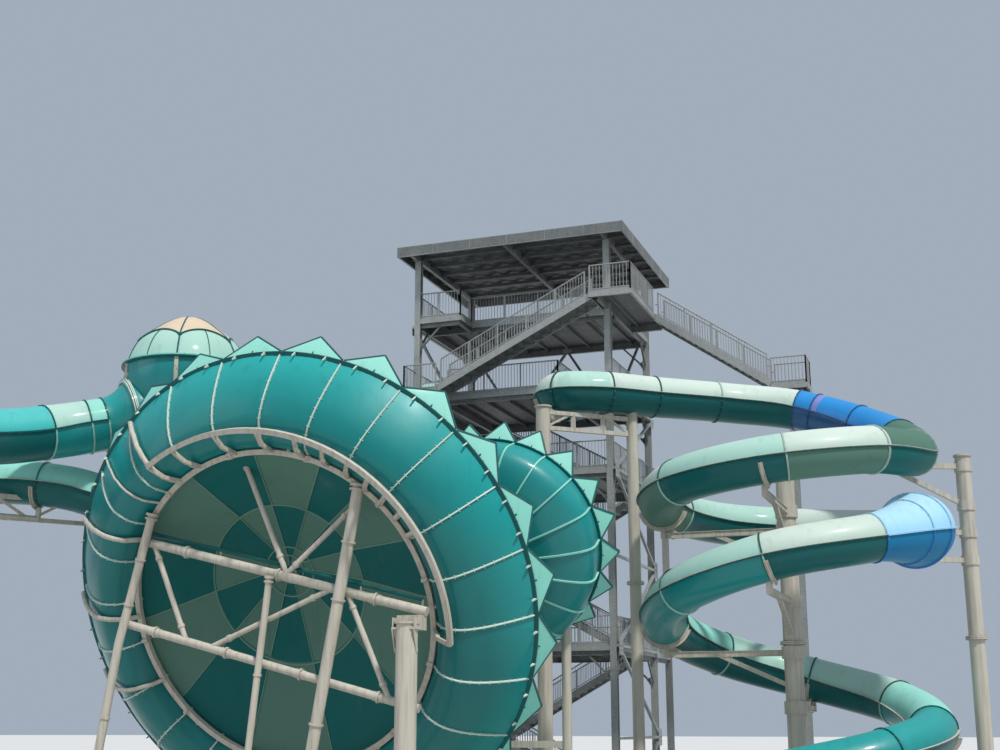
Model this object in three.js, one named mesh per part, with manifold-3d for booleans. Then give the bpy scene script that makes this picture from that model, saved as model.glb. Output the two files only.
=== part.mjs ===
// Water slide tower: a galvanised stair tower with two closed tube slides and a tilted bowl.
// Millimetres, Z up. The origin is the foot of the tower's front left column, X runs along the
// tower's front and Y runs back into the tower. Lengths are written in metres through METRE.

import * as THREE from "three";
import { mergeVertices } from "three/addons/utils/BufferGeometryUtils.js";
import Module from "manifold-3d";

const wasm = await Module();
wasm.setup();

const METRE = 1000;
const GAP = 0.3; // clearance between pieces that touch
const MERGE = 1e-3;
const UP = new THREE.Vector3(0, 0, 1);

// Tower
const STOREY = 3.3;
const BAY_X = 8.0;
const BAY_Y = 6.0;
const COLUMN = 0.25;
const ROOF_UNDERSIDE = 22.3;
const ROOF_THICKNESS = 0.12;
const ROOF_FASCIA = 0.42;
const PLATE = 0.06;
const EDGE_BEAM = { width: 0.14, depth: 0.3 };
const GUARD_HEIGHT = 1.1;
const GUARD_BAR = 0.05;
const LOW_RAIL = 0.16;
const GUARD_SPACING = 3.0;
const BRACE = 0.1;
const RISERS = 18;
const WAIST = 0.2; // thickness of a flight below its steps
const BASE_PLATE = { side: 0.6, thickness: 0.04 };

// Rear stair: two lanes of flights between landings at the two ends of the tower
const LANE_NEAR = [6.3, 7.3];
const LANE_FAR = [7.45, 8.45];
const REAR_RUN = [1.2, 6.8];
const LANDING_EDGE = 8.5;

// Tubes
const TUBE_RADIUS = 0.725;
const BIG_TUBE_RADIUS = 0.875;
const TUBE_WALL = 0.06;
const TUBE_SIDES = 8;
const TUBE_STEP = 1.6;

// Helix of the right slide
const HELIX_CENTRE = { x: 15.2, y: -4.75 };
const HELIX_RADIUS = 4.1;
const HELIX_HEIGHTS = [14.75, 12.2, 11.5, 10.9, 10.45, 9.75, 8.6, 7.0, 5.3, 3.6, 2.3];
const FLARE = { radius: 1.15, peak: 0.625, trumpet: 1.4, steps: 8 }; // swells fast, then a trumpet

// Bowl: a shallow dish on a tilted axis, seen from its back
const BOWL_CENTRE = { x: 1.5, y: -12.3, z: 7.5 };
const BOWL_RADIUS = 7.5;
const BOWL_TILT = THREE.MathUtils.degToRad(23.5);
const BOWL_PANELS = 24;
const SEAM_PHASE = THREE.MathUtils.degToRad(-5.5);
const BOWL_WALL = 0.07;
const TROUGH_LIP = 4.94;
const TROUGH = [[7.46, 0], [7.14, -0.42], [6.72, -0.9], [6.26, -1.32], [5.8, -1.56], [5.34, -1.5],
  [TROUGH_LIP, -1.0], [TROUGH_LIP, -0.84]];
const RIM = { inner: 7.41, outer: 7.62, half: 0.03 };
const BACK_CONE = { middle: 2.5, inner: 0.45 };
const BACK_DEPTH = { outer: -0.92, middle: 0.2, inner: 0.98 };
const BACK_DRIFT = { x: -0.34, y: 0.36 };
const FIN = { valley: 0.1, height: 0.78, rise: 0.8, spread: 0.6, thickness: 0.05 };
const DISH_CENTRE = { x: 6.75, y: -9.1, z: 9.3 };
const DISH_RADIUS = 3.3;
const DISH_DEPTH = 0.95;
const DISH_PANELS = 20;

// Dome chamber of the left slide; its profiles are [radius, height over the flange]
const DOME_CENTRE = { x: -3.68, y: -11.05 };
const DOME_RADIUS = 2.05;
const DOME_FLANGE = 15.4;
const DOME_SIDES = 16;
const LOWER_DOME = [[DOME_RADIUS, -GAP / METRE], [DOME_RADIUS, -0.6], [1.9, -1.3], [1.55, -2.1], [1.0, -2.8],
  [0, -2.8]];
const UPPER_DOME = [[DOME_RADIUS, 0], [1.92, 0.4], [1.66, 0.85], [1.1, 1.32], [0.7, 1.6], [0.35, 1.76],
  [0, 1.8]];
const OUTLET = { mouth: 1.35, flared: 0.42, steps: 5 }; // full width at the dome, then a trumpet

// Channel that leaves the bowl
const CHANNEL = { radius: 0.8, facets: 8, steps: 3 };
const CHANNEL_SADDLES = [{ y: -8.0, top: 0.45 }, { y: -5.2, top: 0.25 }];

// Supports of the right slide
const ELBOW_COLUMN = { x: 7.2, y: -5.7, top: 14.45, diameter: 0.5, sides: 10 };
const TRUSS_COLUMN = { x: 9.75, y: -3.42, top: 14.5, diameter: 0.4, sides: 8 };
const TRUSS = { low: 13.7, high: 14.25, bar: 0.14, bays: 3 };
const ELBOW_ARM = { x: 7.35, y: -4.5, z: 14.28, width: 0.2, depth: 0.36 };
const MAST = { top: 12.3, diameter: 0.6, sides: 10, plate: 0.9 };
const MAST_ARMS = [2, 3, 4, 6, 7, 8, 10]; // quarter turns of the helix that stand on an arm
const ARM = { drop: 1.0, width: 0.18, stub: 0.17, reach: 0.5, knee: 1.1, kneeWidth: 0.14, kneeShare: 0.6 };
const OUTER_COLUMN = { x: 20.7, y: -2.05, top: 12.5, diameter: 0.5, sides: 10, plate: 0.9 };
const TIE = { z: 12.12, width: 0.18, kneeFoot: 10.8, kneeShare: 0.45, kneeWidth: 0.14 };
const FLARE_ARMS = { quarter: 4.75, heights: [9.9, 9.0], width: 0.16 };
const LOW_ARM = { quarter: 9, drop: 0.95, width: 0.16, stub: 0.15, reach: 0.5 };

// Supports of the bowl: points of the flat cross frame are [x, z], those of the ring [radius, out, degrees]
const RING = { radius: 4.86, out: -1.16, width: 0.15, lug: 0.1, reach: 0.2, lugs: [0, 77, 165, 225, 300] };
const LADDER = { radius: 5.7, out: -2.13, from: -8, to: 122, step: 10, rung: 0.12 };
const RUNG_KNEE = { radius: 5.22, out: -1.8 }; // where a rung bends round the bowl's wall
const RUNGS = [-8, 26, 32.5, 39, 46, 53.5, 62, 71, 83, 97, 112, 122];
const FRAME_Y = -14.55;
const CROSS_PIPES = [
  { from: [-2.6, 9.15], to: [6.7, 6.8], diameter: 0.27, sides: 10 },
  { from: [-3.2, 6.75], to: [6.5, 4.2], diameter: 0.24, sides: 8 },
];
const STRUTS = { diameter: 0.16, sides: 6 };
const STRUT_ENDS = [
  [[0.6, 11.7], [2.3, 8.0]], [[4.4, 9.85], [2.3, 8.0]], [[0, 6.0], [3.7, 7.5]], [[-2.2, 9.0], [-0.95, 6.2]],
  [[4.25, 7.4], [5.6, 4.45]],
];
const LEG = { foot: 0.035, sides: 8, plate: 0.7, behind: 0.1 };
const LEGS = {
  bowl_left_leg: { points: [[-2.2, 9.9], [-3.1, 6.1], [-4.0, LEG.foot]], diameter: 0.26 },
  bowl_right_leg: { points: [[4.65, 10.4], [3.87, 5.8], [2.9, LEG.foot]], diameter: 0.34 },
  bowl_middle_leg: { points: [[1.85, 7.9], [1.1, LEG.foot]], diameter: 0.2 },
};
const BOWL_COLUMN = { x: 6.3, y: -15.0, top: 6.5, diameter: 0.6, sides: 10, plate: 0.9 };
const BOWL_HEAD = { low: [5.95, -15.25, 6.3], high: [6.65, -14.45, 6.85] };

// Supports of the left slide and of the small dish
const DOME_POST = { x: -4.6, y: -8.2, top: 14.3, diameter: 0.5, sides: 10, plate: 0.8 };
const DOME_ARM = { z: 12.05, width: 0.24, depth: 0.3, short: 0.3 };
const DOME_SEAT = { low: 12.0, high: 12.6, diameter: 0.5, sides: 8 };
const TROUGH_STRUT = { z: 1.77, width: 0.14, radius: 7.16, degrees: 233, out: -0.45 };
const LOOP_POST = { x: -10.3, y: -15.7, top: 12.6, diameter: 0.5, sides: 10, plate: 0.8 };
const LINK = { low: 10.3, high: 11.0, chord: 0.14, web: 0.09, bays: 4 };
const LOOP_ARMS = [4, 6, 8, 10]; // stations of the left slide that stand on an arm
const LOOP_ARM = { drop: 1.15, diameter: 0.18, sides: 6, start: -0.09, reach: 0.6 };
const DISH_POSTS = { x: [4.65, 8.85], y: -8.6, top: 6.95, diameter: 0.3, sides: 8, plate: 0.7 };
const DISH_TIE = { z: 3.2, width: 0.2, link: 0.14 };

const at = (x, y, z) => new THREE.Vector3(x, y, z).multiplyScalar(METRE);

// Materials
function finish(name, color, roughness, metalness = 0) {
  const material = new THREE.MeshStandardMaterial({ color, roughness, metalness });
  material.name = name;
  return material;
}
const GALVANISED = ["galvanised_steel", 0x8d9090, 0.5, 0.7];
const CREAM_PAINT = ["cream_paint", 0xd1ccbc, 0.45, 0.1];
const TEAL_GELCOAT = ["teal_gelcoat", 0x1a8c8e, 0.3, 0];
const DARK_GREEN = ["dark_green_gelcoat", 0x1f5c55, 0.4, 0];
const LIGHT_GREEN = ["light_green_gelcoat", 0x527a66, 0.4, 0];
const MINT_GELCOAT = ["mint_gelcoat", 0x9fe0cc, 0.35, 0];
const BLUE_GELCOAT = ["blue_gelcoat", 0x2a78c4, 0.3, 0];
const SKY_GELCOAT = ["sky_blue_gelcoat", 0x86c6ea, 0.3, 0];

// Solids from closed geometries
function toSolid(geometry) {
  const bare = new THREE.BufferGeometry();
  bare.setAttribute("position", geometry.getAttribute("position"));
  bare.setIndex(geometry.index);
  const merged = mergeVertices(bare, MERGE);
  const index = Array.from(merged.index.array);
  const faces = [];
  for (let i = 0; i < index.length; i += 3) {
    const [a, b, c] = index.slice(i, i + 3);
    if (a !== b && b !== c && c !== a) faces.push(a, b, c);
  }
  const build = (triangles) => new wasm.Manifold(new wasm.Mesh({
    numProp: 3,
    vertProperties: new Float32Array(merged.attributes.position.array),
    triVerts: new Uint32Array(triangles),
  }));
  const solid = build(faces);
  return solid.volume() >= 0 ? solid : build(faces.reverse());
}

function toGeometry(solid) {
  const mesh = solid.getMesh();
  const geometry = new THREE.BufferGeometry();
  geometry.setAttribute("position", new THREE.BufferAttribute(new Float32Array(mesh.vertProperties), 3));
  geometry.setIndex(new THREE.BufferAttribute(new Uint32Array(mesh.triVerts), 1));
  geometry.computeVertexNormals();
  return geometry;
}

const join = (solids) => wasm.Manifold.union(solids);

// A closed skin over a row of outlines that all have the same number of points
function loft(sections, closed = false) {
  const count = sections[0].length;
  const rows = closed ? sections.length : sections.length - 1;
  const faces = [];
  for (let row = 0; row < rows; row += 1) {
    const next = (row + 1) % sections.length;
    for (let i = 0; i < count; i += 1) {
      const j = (i + 1) % count;
      const [a, b, c, d] = [row * count + i, row * count + j, next * count + j, next * count + i];
      faces.push(a, b, c, a, c, d);
    }
  }
  const last = (sections.length - 1) * count;
  for (const [a, b, c] of closed ? [] : capFaces(sections[0])) {
    faces.push(a, c, b, last + a, last + b, last + c);
  }
  const geometry = new THREE.BufferGeometry().setFromPoints(sections.flat());
  geometry.setIndex(faces);
  return toSolid(geometry);
}

// Triangles that close a flat outline, found in the outline's own plane
function capFaces(outline) {
  const normal = new THREE.Vector3();
  const cross = (a, b) => new THREE.Vector3().crossVectors(a, b);
  outline.forEach((point, i) => normal.add(cross(point, outline[(i + 1) % outline.length])));
  const turn = new THREE.Quaternion().setFromUnitVectors(normal.normalize(), UP);
  const flat = outline.map((point) => point.clone().sub(outline[0]).applyQuaternion(turn));
  return THREE.ShapeUtils.triangulateShape(flat.map((point) => new THREE.Vector2(point.x, point.y)), []);
}

// Frame of a straight member: its own Z along the member, its own Y as upright as it can be
function memberFrame(from, to) {
  const along = to.clone().sub(from).normalize();
  const vertical = Math.abs(along.z) > 0.999;
  const side = new THREE.Vector3(1, 0, 0);
  if (!vertical) side.crossVectors(along, UP).normalize();
  const upright = new THREE.Vector3().crossVectors(along, side).negate();
  side.crossVectors(upright, along);
  const middle = from.clone().add(to).multiplyScalar(0.5);
  return new THREE.Matrix4().makeBasis(side, upright, along).setPosition(middle);
}

function bar(from, to, width, depth = width, grow = 0) {
  const length = from.distanceTo(to) + 2 * grow;
  const box = new THREE.BoxGeometry(width * METRE + 2 * grow, depth * METRE + 2 * grow, length);
  return toSolid(box.applyMatrix4(memberFrame(from, to)));
}

function pipe(from, to, diameter, sides = 8, grow = 0) {
  const radius = diameter * METRE / 2 + grow;
  const cylinder = new THREE.CylinderGeometry(radius, radius, from.distanceTo(to) + 2 * grow, sides);
  cylinder.rotateX(Math.PI / 2);
  return toSolid(cylinder.applyMatrix4(memberFrame(from, to)));
}

function block(low, high, grow = 0) {
  const size = high.clone().sub(low).addScalar(2 * grow);
  const box = new THREE.BoxGeometry(size.x, size.y, size.z);
  const middle = low.clone().add(high).multiplyScalar(0.5);
  return toSolid(box.translate(middle.x, middle.y, middle.z));
}

// A piece of steelwork is a list of members, kept so that it can be made again a little larger
class Steelwork {
  constructor() {
    this.members = [];
  }

  bar(from, to, width, depth) {
    this.members.push((grow) => bar(from, to, width, depth, grow));
    return this;
  }

  pipe(from, to, diameter, sides) {
    this.members.push((grow) => pipe(from, to, diameter, sides, grow));
    return this;
  }

  block(low, high) {
    this.members.push((grow) => block(low, high, grow));
    return this;
  }

  chain(points, diameter, sides) {
    for (let i = 0; i < points.length - 1; i += 1) this.pipe(points[i], points[i + 1], diameter, sides);
    return this;
  }

  foot(x, y, side = BASE_PLATE.side) {
    const half = side / 2;
    return this.block(at(x - half, y - half, 0), at(x + half, y + half, BASE_PLATE.thickness));
  }

  make(grow = 0) {
    return join(this.members.map((member) => member(grow)));
  }
}

// Pieces are listed first and cut last: each one gives way to the pieces listed before it
const pieces = [];

function piece(name, materialValues, shape) {
  const make = typeof shape === "function" ? shape : (grow) => shape.make(grow);
  pieces.push({ name, material: finish(...materialValues), make });
}

// An even polygon whose flat sides lie at the radius
function polygon(radius, sides = TUBE_SIDES) {
  const points = [];
  const corner = radius / Math.cos(Math.PI / sides);
  for (let i = 0; i < sides; i += 1) {
    const angle = (i + 0.5) * 2 * Math.PI / sides;
    points.push(new THREE.Vector2(corner * Math.cos(angle), corner * Math.sin(angle)));
  }
  return points;
}

// A route through control points; a station is a control point's fraction of the length
class Route {
  constructor(points, closeness = 40) {
    this.curve = new THREE.CatmullRomCurve3(points);
    this.curve.arcLengthDivisions = (points.length - 1) * closeness;
    const lengths = this.curve.getLengths();
    this.length = lengths.at(-1);
    this.stations = points.map((_, i) => lengths[i * closeness] / this.length);
  }
}

// A stretch of a route between two stations. A start at an inner station leaves the clearance, both
// ends can reach out by a distance, and its side direction stays level, so that sections never twist
class Stretch extends THREE.Curve {
  constructor(route, fromStation, toStation, reach = 0) {
    super();
    this.route = route;
    this.start = route.stations[fromStation] + (fromStation > 0 ? GAP / route.length : 0);
    this.end = route.stations[toStation];
    this.reach = reach;
  }

  getTangentAt(t) {
    return this.route.curve.getTangentAt(THREE.MathUtils.lerp(this.start, this.end, t));
  }

  getPointAt(t) {
    const outwards = (t === 1) - (t === 0);
    const point = this.route.curve.getPointAt(THREE.MathUtils.lerp(this.start, this.end, t));
    return point.addScaledVector(this.getTangentAt(t), outwards * this.reach);
  }

  computeFrenetFrames(steps) {
    const frames = { tangents: [], normals: [], binormals: [] };
    for (let i = 0; i <= steps; i += 1) {
      const tangent = this.getTangentAt(i / steps);
      const side = new THREE.Vector3().crossVectors(UP, tangent).normalize();
      frames.tangents.push(tangent);
      frames.normals.push(side);
      frames.binormals.push(new THREE.Vector3().crossVectors(tangent, side));
    }
    return frames;
  }
}

// One section, drawn as [side, upright] points, carried along a stretch
function swept(stretch, steps, outline, hole) {
  const shape = new THREE.Shape(outline);
  if (hole) shape.holes.push(new THREE.Path(hole));
  return toSolid(new THREE.ExtrudeGeometry(shape, { steps, extrudePath: stretch, bevelEnabled: false }));
}

// Sections along a stretch whose outline may change from step to step
function sectionsAlong(stretch, steps, sectionAt) {
  const { normals, binormals } = stretch.computeFrenetFrames(steps);
  return normals.map((side, i) => {
    const centre = stretch.getPointAt(i / steps);
    return sectionAt(i / steps).map((point) => (
      centre.clone().addScaledVector(side, point.x).addScaledVector(binormals[i], point.y)));
  });
}

// A hollow tube of one radius; made larger it is a full body
function tube(route, fromStation, toStation, radius) {
  const length = (route.stations[toStation] - route.stations[fromStation]) * route.length;
  const steps = Math.round(length / (TUBE_STEP * METRE));
  return (grow) => {
    const outline = polygon(radius * METRE + grow);
    const hole = grow > 0 ? undefined : polygon((radius - TUBE_WALL) * METRE);
    return swept(new Stretch(route, fromStation, toStation, grow), steps, outline, hole);
  };
}

// A tube whose radius changes runs along its outer skin and back along its inner one
function taperedTube(route, fromStation, toStation, radiusAt, steps) {
  const skin = (change) => {
    const stretch = new Stretch(route, fromStation, toStation, Math.max(0, change));
    return sectionsAlong(stretch, steps, (t) => polygon(radiusAt(t) * METRE + change));
  };
  return (grow) => {
    if (grow > 0) return loft(skin(grow));
    return loft([...skin(0), ...skin(-TUBE_WALL * METRE).reverse()], true);
  };
}

// Tower columns and roof
const columnTops = [[0, 0], [BAY_X, 0], [0, BAY_Y], [BAY_X, BAY_Y]];
columnTops.forEach(([x, y], i) => {
  const column = new Steelwork().foot(x, y).bar(at(x, y, 0), at(x, y, ROOF_UNDERSIDE), COLUMN);
  piece(`tower_column_${i + 1}`, GALVANISED, column);
});

// A plate of one thickness from its outline and the outlines of its holes, from a bottom height up
function plate(outline, bottom, thickness, grow, holes = []) {
  const point = ([x, y]) => new THREE.Vector2(x * METRE, y * METRE);
  const shape = new THREE.Shape(outline.map(point));
  for (const hole of holes) shape.holes.push(new THREE.Path(hole.map(point)));
  const depth = thickness * METRE + 2 * grow;
  const geometry = new THREE.ExtrudeGeometry(shape, { depth, bevelEnabled: false });
  return toSolid(geometry.translate(0, 0, bottom * METRE - grow));
}

const rectangle = (x0, y0, x1, y1) => [[x0, y0], [x1, y0], [x1, y1], [x0, y1]];

function roof() {
  const edge = 0.08;
  const [low, high] = [{ x: -0.6, y: -0.9 }, { x: 8.9, y: 6.9 }];
  const outline = rectangle(low.x, low.y, high.x, high.y);
  const inside = rectangle(low.x + edge, low.y + edge, high.x - edge, high.y - edge);
  const frame = new Steelwork();
  const underside = ROOF_UNDERSIDE + ROOF_FASCIA - ROOF_THICKNESS;
  frame.members.push((grow) => plate(outline, underside, ROOF_THICKNESS, grow));
  frame.members.push((grow) => plate(outline, ROOF_UNDERSIDE, ROOF_FASCIA, grow, [inside]));
  const level = ROOF_UNDERSIDE + EDGE_BEAM.depth / 2;
  for (const x of [0, BAY_X / 2, BAY_X]) {
    const ends = [at(x, low.y + edge / 2, level), at(x, high.y - edge / 2, level)];
    frame.bar(ends[0], ends[1], EDGE_BEAM.width, EDGE_BEAM.depth);
  }
  return frame;
}
piece("roof", GALVANISED, roof());

// Guard rail along a line of floor points: posts, a top rail and a bottom rail
function guard(frame, points, rails = [GUARD_HEIGHT]) {
  const lift = (point, height) => point.clone().add(at(0, 0, height));
  for (let i = 0; i < points.length - 1; i += 1) {
    const [from, to] = [points[i], points[i + 1]];
    const bays = Math.max(1, Math.round(from.distanceTo(to) / METRE / GUARD_SPACING));
    for (let bay = i === 0 ? 0 : 1; bay <= bays; bay += 1) {
      const foot = from.clone().lerp(to, bay / bays);
      frame.bar(lift(foot, -PLATE / 2), lift(foot, GUARD_HEIGHT), GUARD_BAR);
    }
    for (const height of rails) frame.bar(lift(from, height), lift(to, height), GUARD_BAR);
  }
}

// A deck: its plate from an outline, beams below, guard rails above
function deck(level, outline, beams, guards, rails = [GUARD_HEIGHT]) {
  const frame = new Steelwork();
  frame.members.push((grow) => plate(outline, level - PLATE, PLATE, grow));
  const middle = level - PLATE / 2 - EDGE_BEAM.depth / 2;
  for (const [x0, y0, x1, y1] of beams) {
    frame.bar(at(x0, y0, middle), at(x1, y1, middle), EDGE_BEAM.width, EDGE_BEAM.depth);
  }
  for (const line of guards) guard(frame, line.map(([x, y]) => at(x, y, level)), rails);
  return frame;
}

const SIDE = 0.1; // how far the plates reach past the column lines
const LOW_X = -SIDE;
const HIGH_X = BAY_X + SIDE;
const GUARD_INSET = 0.05;
const LANDING_END = REAR_RUN[0];
const LANDING_START = REAR_RUN[1];

const ringBeams = [[0, 0, BAY_X, 0], [0, BAY_Y, BAY_X, BAY_Y], [0, 0, 0, BAY_Y], [BAY_X, 0, BAY_X, BAY_Y],
  [BAY_X / 2, 0, BAY_X / 2, BAY_Y]];
const rearRightBeams = [[LANDING_START + SIDE, BAY_Y, LANDING_START + SIDE, LANDING_EDGE],
  [BAY_X, BAY_Y, BAY_X, LANDING_EDGE]];

function lowerDeckOutline() {
  return [[LOW_X, -SIDE], [HIGH_X, -SIDE], [HIGH_X, LANDING_EDGE], [LANDING_START, LANDING_EDGE],
    [LANDING_START, BAY_Y + SIDE], [LOW_X, BAY_Y + SIDE]];
}

function lowerDeckGuards() {
  const inside = BAY_Y + SIDE - GUARD_INSET;
  return [
    [[LANDING_START, inside], [LOW_X + GUARD_INSET, inside], [LOW_X + GUARD_INSET, -SIDE + GUARD_INSET],
      [HIGH_X - GUARD_INSET, -SIDE + GUARD_INSET], [HIGH_X - GUARD_INSET, LANDING_EDGE - GUARD_INSET],
      [LANDING_START + GUARD_INSET, LANDING_EDGE - GUARD_INSET]],
  ];
}

const lowerBeams = [...ringBeams, ...rearRightBeams];
piece("deck_1", GALVANISED, deck(2 * STOREY, lowerDeckOutline(), lowerBeams, lowerDeckGuards()));
piece("deck_2", GALVANISED, deck(4 * STOREY, lowerDeckOutline(), lowerBeams, lowerDeckGuards()));

// Deck 3 carries the start of the right slide, which drops through a notch in its front edge
const FRONT_LANDING = { start: -SIDE, end: 1.3, edge: -1.3 };
const START_NOTCH = { low: 6.0, high: 7.86, back: 3.3 };
const startOutline = [
  [LOW_X, FRONT_LANDING.edge], [FRONT_LANDING.end, FRONT_LANDING.edge], [FRONT_LANDING.end, -SIDE],
  [START_NOTCH.low, -SIDE], [START_NOTCH.low, START_NOTCH.back], [START_NOTCH.high, START_NOTCH.back],
  [START_NOTCH.high, -SIDE], [HIGH_X, -SIDE], [HIGH_X, BAY_Y + SIDE], [LANDING_END, BAY_Y + SIDE],
  [LANDING_END, LANE_NEAR[1] + SIDE], [LOW_X, LANE_NEAR[1] + SIDE],
];
const startBeams = [
  [0, 0, START_NOTCH.low, 0], [0, BAY_Y, BAY_X, BAY_Y], [0, FRONT_LANDING.edge, 0, LANE_NEAR[1] + SIDE],
  [BAY_X, 0, BAY_X, BAY_Y], [START_NOTCH.low - SIDE, 0, START_NOTCH.low - SIDE, BAY_Y],
  [LANDING_END - SIDE, FRONT_LANDING.edge, LANDING_END - SIDE, LANE_NEAR[1] + SIDE],
];
const startGuards = [
  [[LOW_X + GUARD_INSET, LANE_NEAR[1]], [LOW_X + GUARD_INSET, FRONT_LANDING.edge + GUARD_INSET],
    [FRONT_LANDING.end, FRONT_LANDING.edge + GUARD_INSET]],
  [[FRONT_LANDING.end + GUARD_INSET, -SIDE + GUARD_INSET],
    [START_NOTCH.low - GUARD_INSET, -SIDE + GUARD_INSET], [START_NOTCH.low - GUARD_INSET, START_NOTCH.back]],
  [[HIGH_X - GUARD_INSET, -SIDE + GUARD_INSET], [HIGH_X - GUARD_INSET, BAY_Y + SIDE - GUARD_INSET],
    [LANDING_END, BAY_Y + SIDE - GUARD_INSET]],
];
piece("deck_3", GALVANISED, deck(5 * STOREY, startOutline, startBeams, startGuards));

// The top deck leaves a stairwell behind its front edge and has a landing at the stair's head
const STAIRWELL = { start: 1.9, end: 7.6, back: 1.2 };
const TOP_LANDING = { end: 9.3, edge: -1.3 };
const SIDE_STAIR = { start: 9.5, end: 13.8, low: 2.4, high: 3.6 };
const topOutline = [
  [LOW_X, -SIDE], [STAIRWELL.start, -SIDE], [STAIRWELL.start, STAIRWELL.back],
  [STAIRWELL.end, STAIRWELL.back], [STAIRWELL.end, TOP_LANDING.edge],
  [TOP_LANDING.end, TOP_LANDING.edge], [TOP_LANDING.end, SIDE_STAIR.high + SIDE],
  [HIGH_X, SIDE_STAIR.high + SIDE], [HIGH_X, BAY_Y + SIDE], [LOW_X, BAY_Y + SIDE],
];
const topBeams = [
  [0, 0, STAIRWELL.start - SIDE, 0], [0, STAIRWELL.back + SIDE, BAY_X, STAIRWELL.back + SIDE],
  [0, BAY_Y, BAY_X, BAY_Y], [0, 0, 0, BAY_Y], [BAY_X, TOP_LANDING.edge, BAY_X, BAY_Y],
  [STAIRWELL.start - SIDE, 0, STAIRWELL.start - SIDE, STAIRWELL.back + SIDE],
  [BAY_X, SIDE_STAIR.high, TOP_LANDING.end, SIDE_STAIR.high],
];
const topGuards = [
  [[HIGH_X - GUARD_INSET, SIDE_STAIR.high + SIDE], [HIGH_X - GUARD_INSET, BAY_Y + SIDE - GUARD_INSET],
    [LOW_X + GUARD_INSET, BAY_Y + SIDE - GUARD_INSET], [LOW_X + GUARD_INSET, -SIDE + GUARD_INSET],
    [STAIRWELL.start - GUARD_INSET, -SIDE + GUARD_INSET],
    [STAIRWELL.start - GUARD_INSET, STAIRWELL.back + GUARD_INSET],
    [STAIRWELL.end, STAIRWELL.back + GUARD_INSET]],
  [[STAIRWELL.end + GUARD_INSET, TOP_LANDING.edge + GUARD_INSET],
    [TOP_LANDING.end - GUARD_INSET, TOP_LANDING.edge + GUARD_INSET],
    [TOP_LANDING.end - GUARD_INSET, SIDE_STAIR.low - SIDE]],
];
const topDeck = deck(6 * STOREY, topOutline, topBeams, topGuards, [LOW_RAIL, GUARD_HEIGHT]);
// A zigzag brace hangs from the rear beam and stands on the deck below
const zigzag = [[0.3, 1], [2.2, 0], [4.5, 1], [6.4, 0], [7.7, 1]];
for (let i = 0; i < zigzag.length - 1; i += 1) {
  const ends = [zigzag[i], zigzag[i + 1]].map(([x, high]) => (
    at(x, BAY_Y, high ? 6 * STOREY - PLATE - EDGE_BEAM.depth / 2 : 5 * STOREY + BRACE)));
  topDeck.bar(ends[0], ends[1], BRACE);
}
piece("deck_4", GALVANISED, topDeck);

// A straight flight folded from plate: steps on top, an even slope below, handrails at both edges.
// An end either stands on the ground, is joined to the plate of its own piece or hangs below another
const JOINED = -PLATE / 2;
const HUNG = -PLATE - GAP / METRE;
const LUG = 0.08;

function flight(frame, foot, head, [low, high], rails = [GUARD_HEIGHT]) {
  const rise = (head.z - foot.z) / RISERS;
  const going = (head.x - foot.x) / (RISERS - 1);
  const ahead = Math.sign(going) * LUG;
  const profile = foot.held === undefined ? [[foot.x, foot.z]]
    : [[foot.x - ahead, foot.z - WAIST], [foot.x - ahead, foot.z + foot.held], [foot.x, foot.z + foot.held]];
  for (let step = 1; step < RISERS; step += 1) {
    const height = foot.z + rise * step;
    profile.push([foot.x + going * (step - 1), height], [foot.x + going * step, height]);
  }
  profile.push([head.x, head.z + head.held], [head.x + ahead, head.z + head.held]);
  profile.push([head.x + ahead, head.z - 2 * rise]);
  profile.push([head.x, head.z - rise - WAIST]);
  if (foot.held === undefined) profile.push([foot.x + 1.5 * going, foot.z]);
  else profile.push([foot.x + going, foot.z - WAIST / 2]);
  frame.members.push((grow) => {
    const shape = new THREE.Shape(profile.map(([x, z]) => new THREE.Vector2(x * METRE, z * METRE)));
    const depth = (high - low) * METRE + 2 * grow;
    const geometry = new THREE.ExtrudeGeometry(shape, { depth, bevelEnabled: false }).rotateX(Math.PI / 2);
    return toSolid(geometry.translate(0, high * METRE + grow, 0));
  });
  for (const y of [low + GUARD_BAR, high - GUARD_BAR]) {
    guard(frame, [at(foot.x + going / 2, y, foot.z + rise), at(head.x - going / 2, y, head.z - rise)], rails);
  }
}

const FRONT_LANE = [-1.2, -0.15];
const frontStair = new Steelwork();
flight(frontStair, { x: FRONT_LANDING.end, z: 5 * STOREY, held: HUNG },
  { x: STAIRWELL.end, z: 6 * STOREY, held: HUNG }, FRONT_LANE, [LOW_RAIL, GUARD_HEIGHT]);
piece("front_stair", GALVANISED, frontStair);

// The side stair comes down from the top deck to a landing on its own post
const sideStair = new Steelwork();
flight(sideStair, { x: SIDE_STAIR.end, z: 5 * STOREY, held: JOINED },
  { x: TOP_LANDING.end, z: 6 * STOREY, held: HUNG }, [SIDE_STAIR.low, SIDE_STAIR.high]);
const SIDE_LANDING = { end: 15.2, z: 5 * STOREY, beam: 0.16, beamDepth: 0.22 };
const SIDE_POST = { x: 14.5, y: 3.0 };
sideStair.block(at(SIDE_STAIR.end, SIDE_STAIR.low, SIDE_LANDING.z - PLATE),
  at(SIDE_LANDING.end, SIDE_STAIR.high, SIDE_LANDING.z));
guard(sideStair, [[SIDE_STAIR.end, SIDE_STAIR.low + GUARD_INSET],
  [SIDE_LANDING.end - GUARD_INSET, SIDE_STAIR.low + GUARD_INSET],
  [SIDE_LANDING.end - GUARD_INSET, SIDE_STAIR.high - GUARD_INSET],
  [SIDE_STAIR.end, SIDE_STAIR.high - GUARD_INSET]].map(([x, y]) => at(x, y, SIDE_LANDING.z)));
const landingBeamZ = SIDE_LANDING.z - PLATE - SIDE_LANDING.beamDepth / 2 + PLATE / 6;
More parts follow.
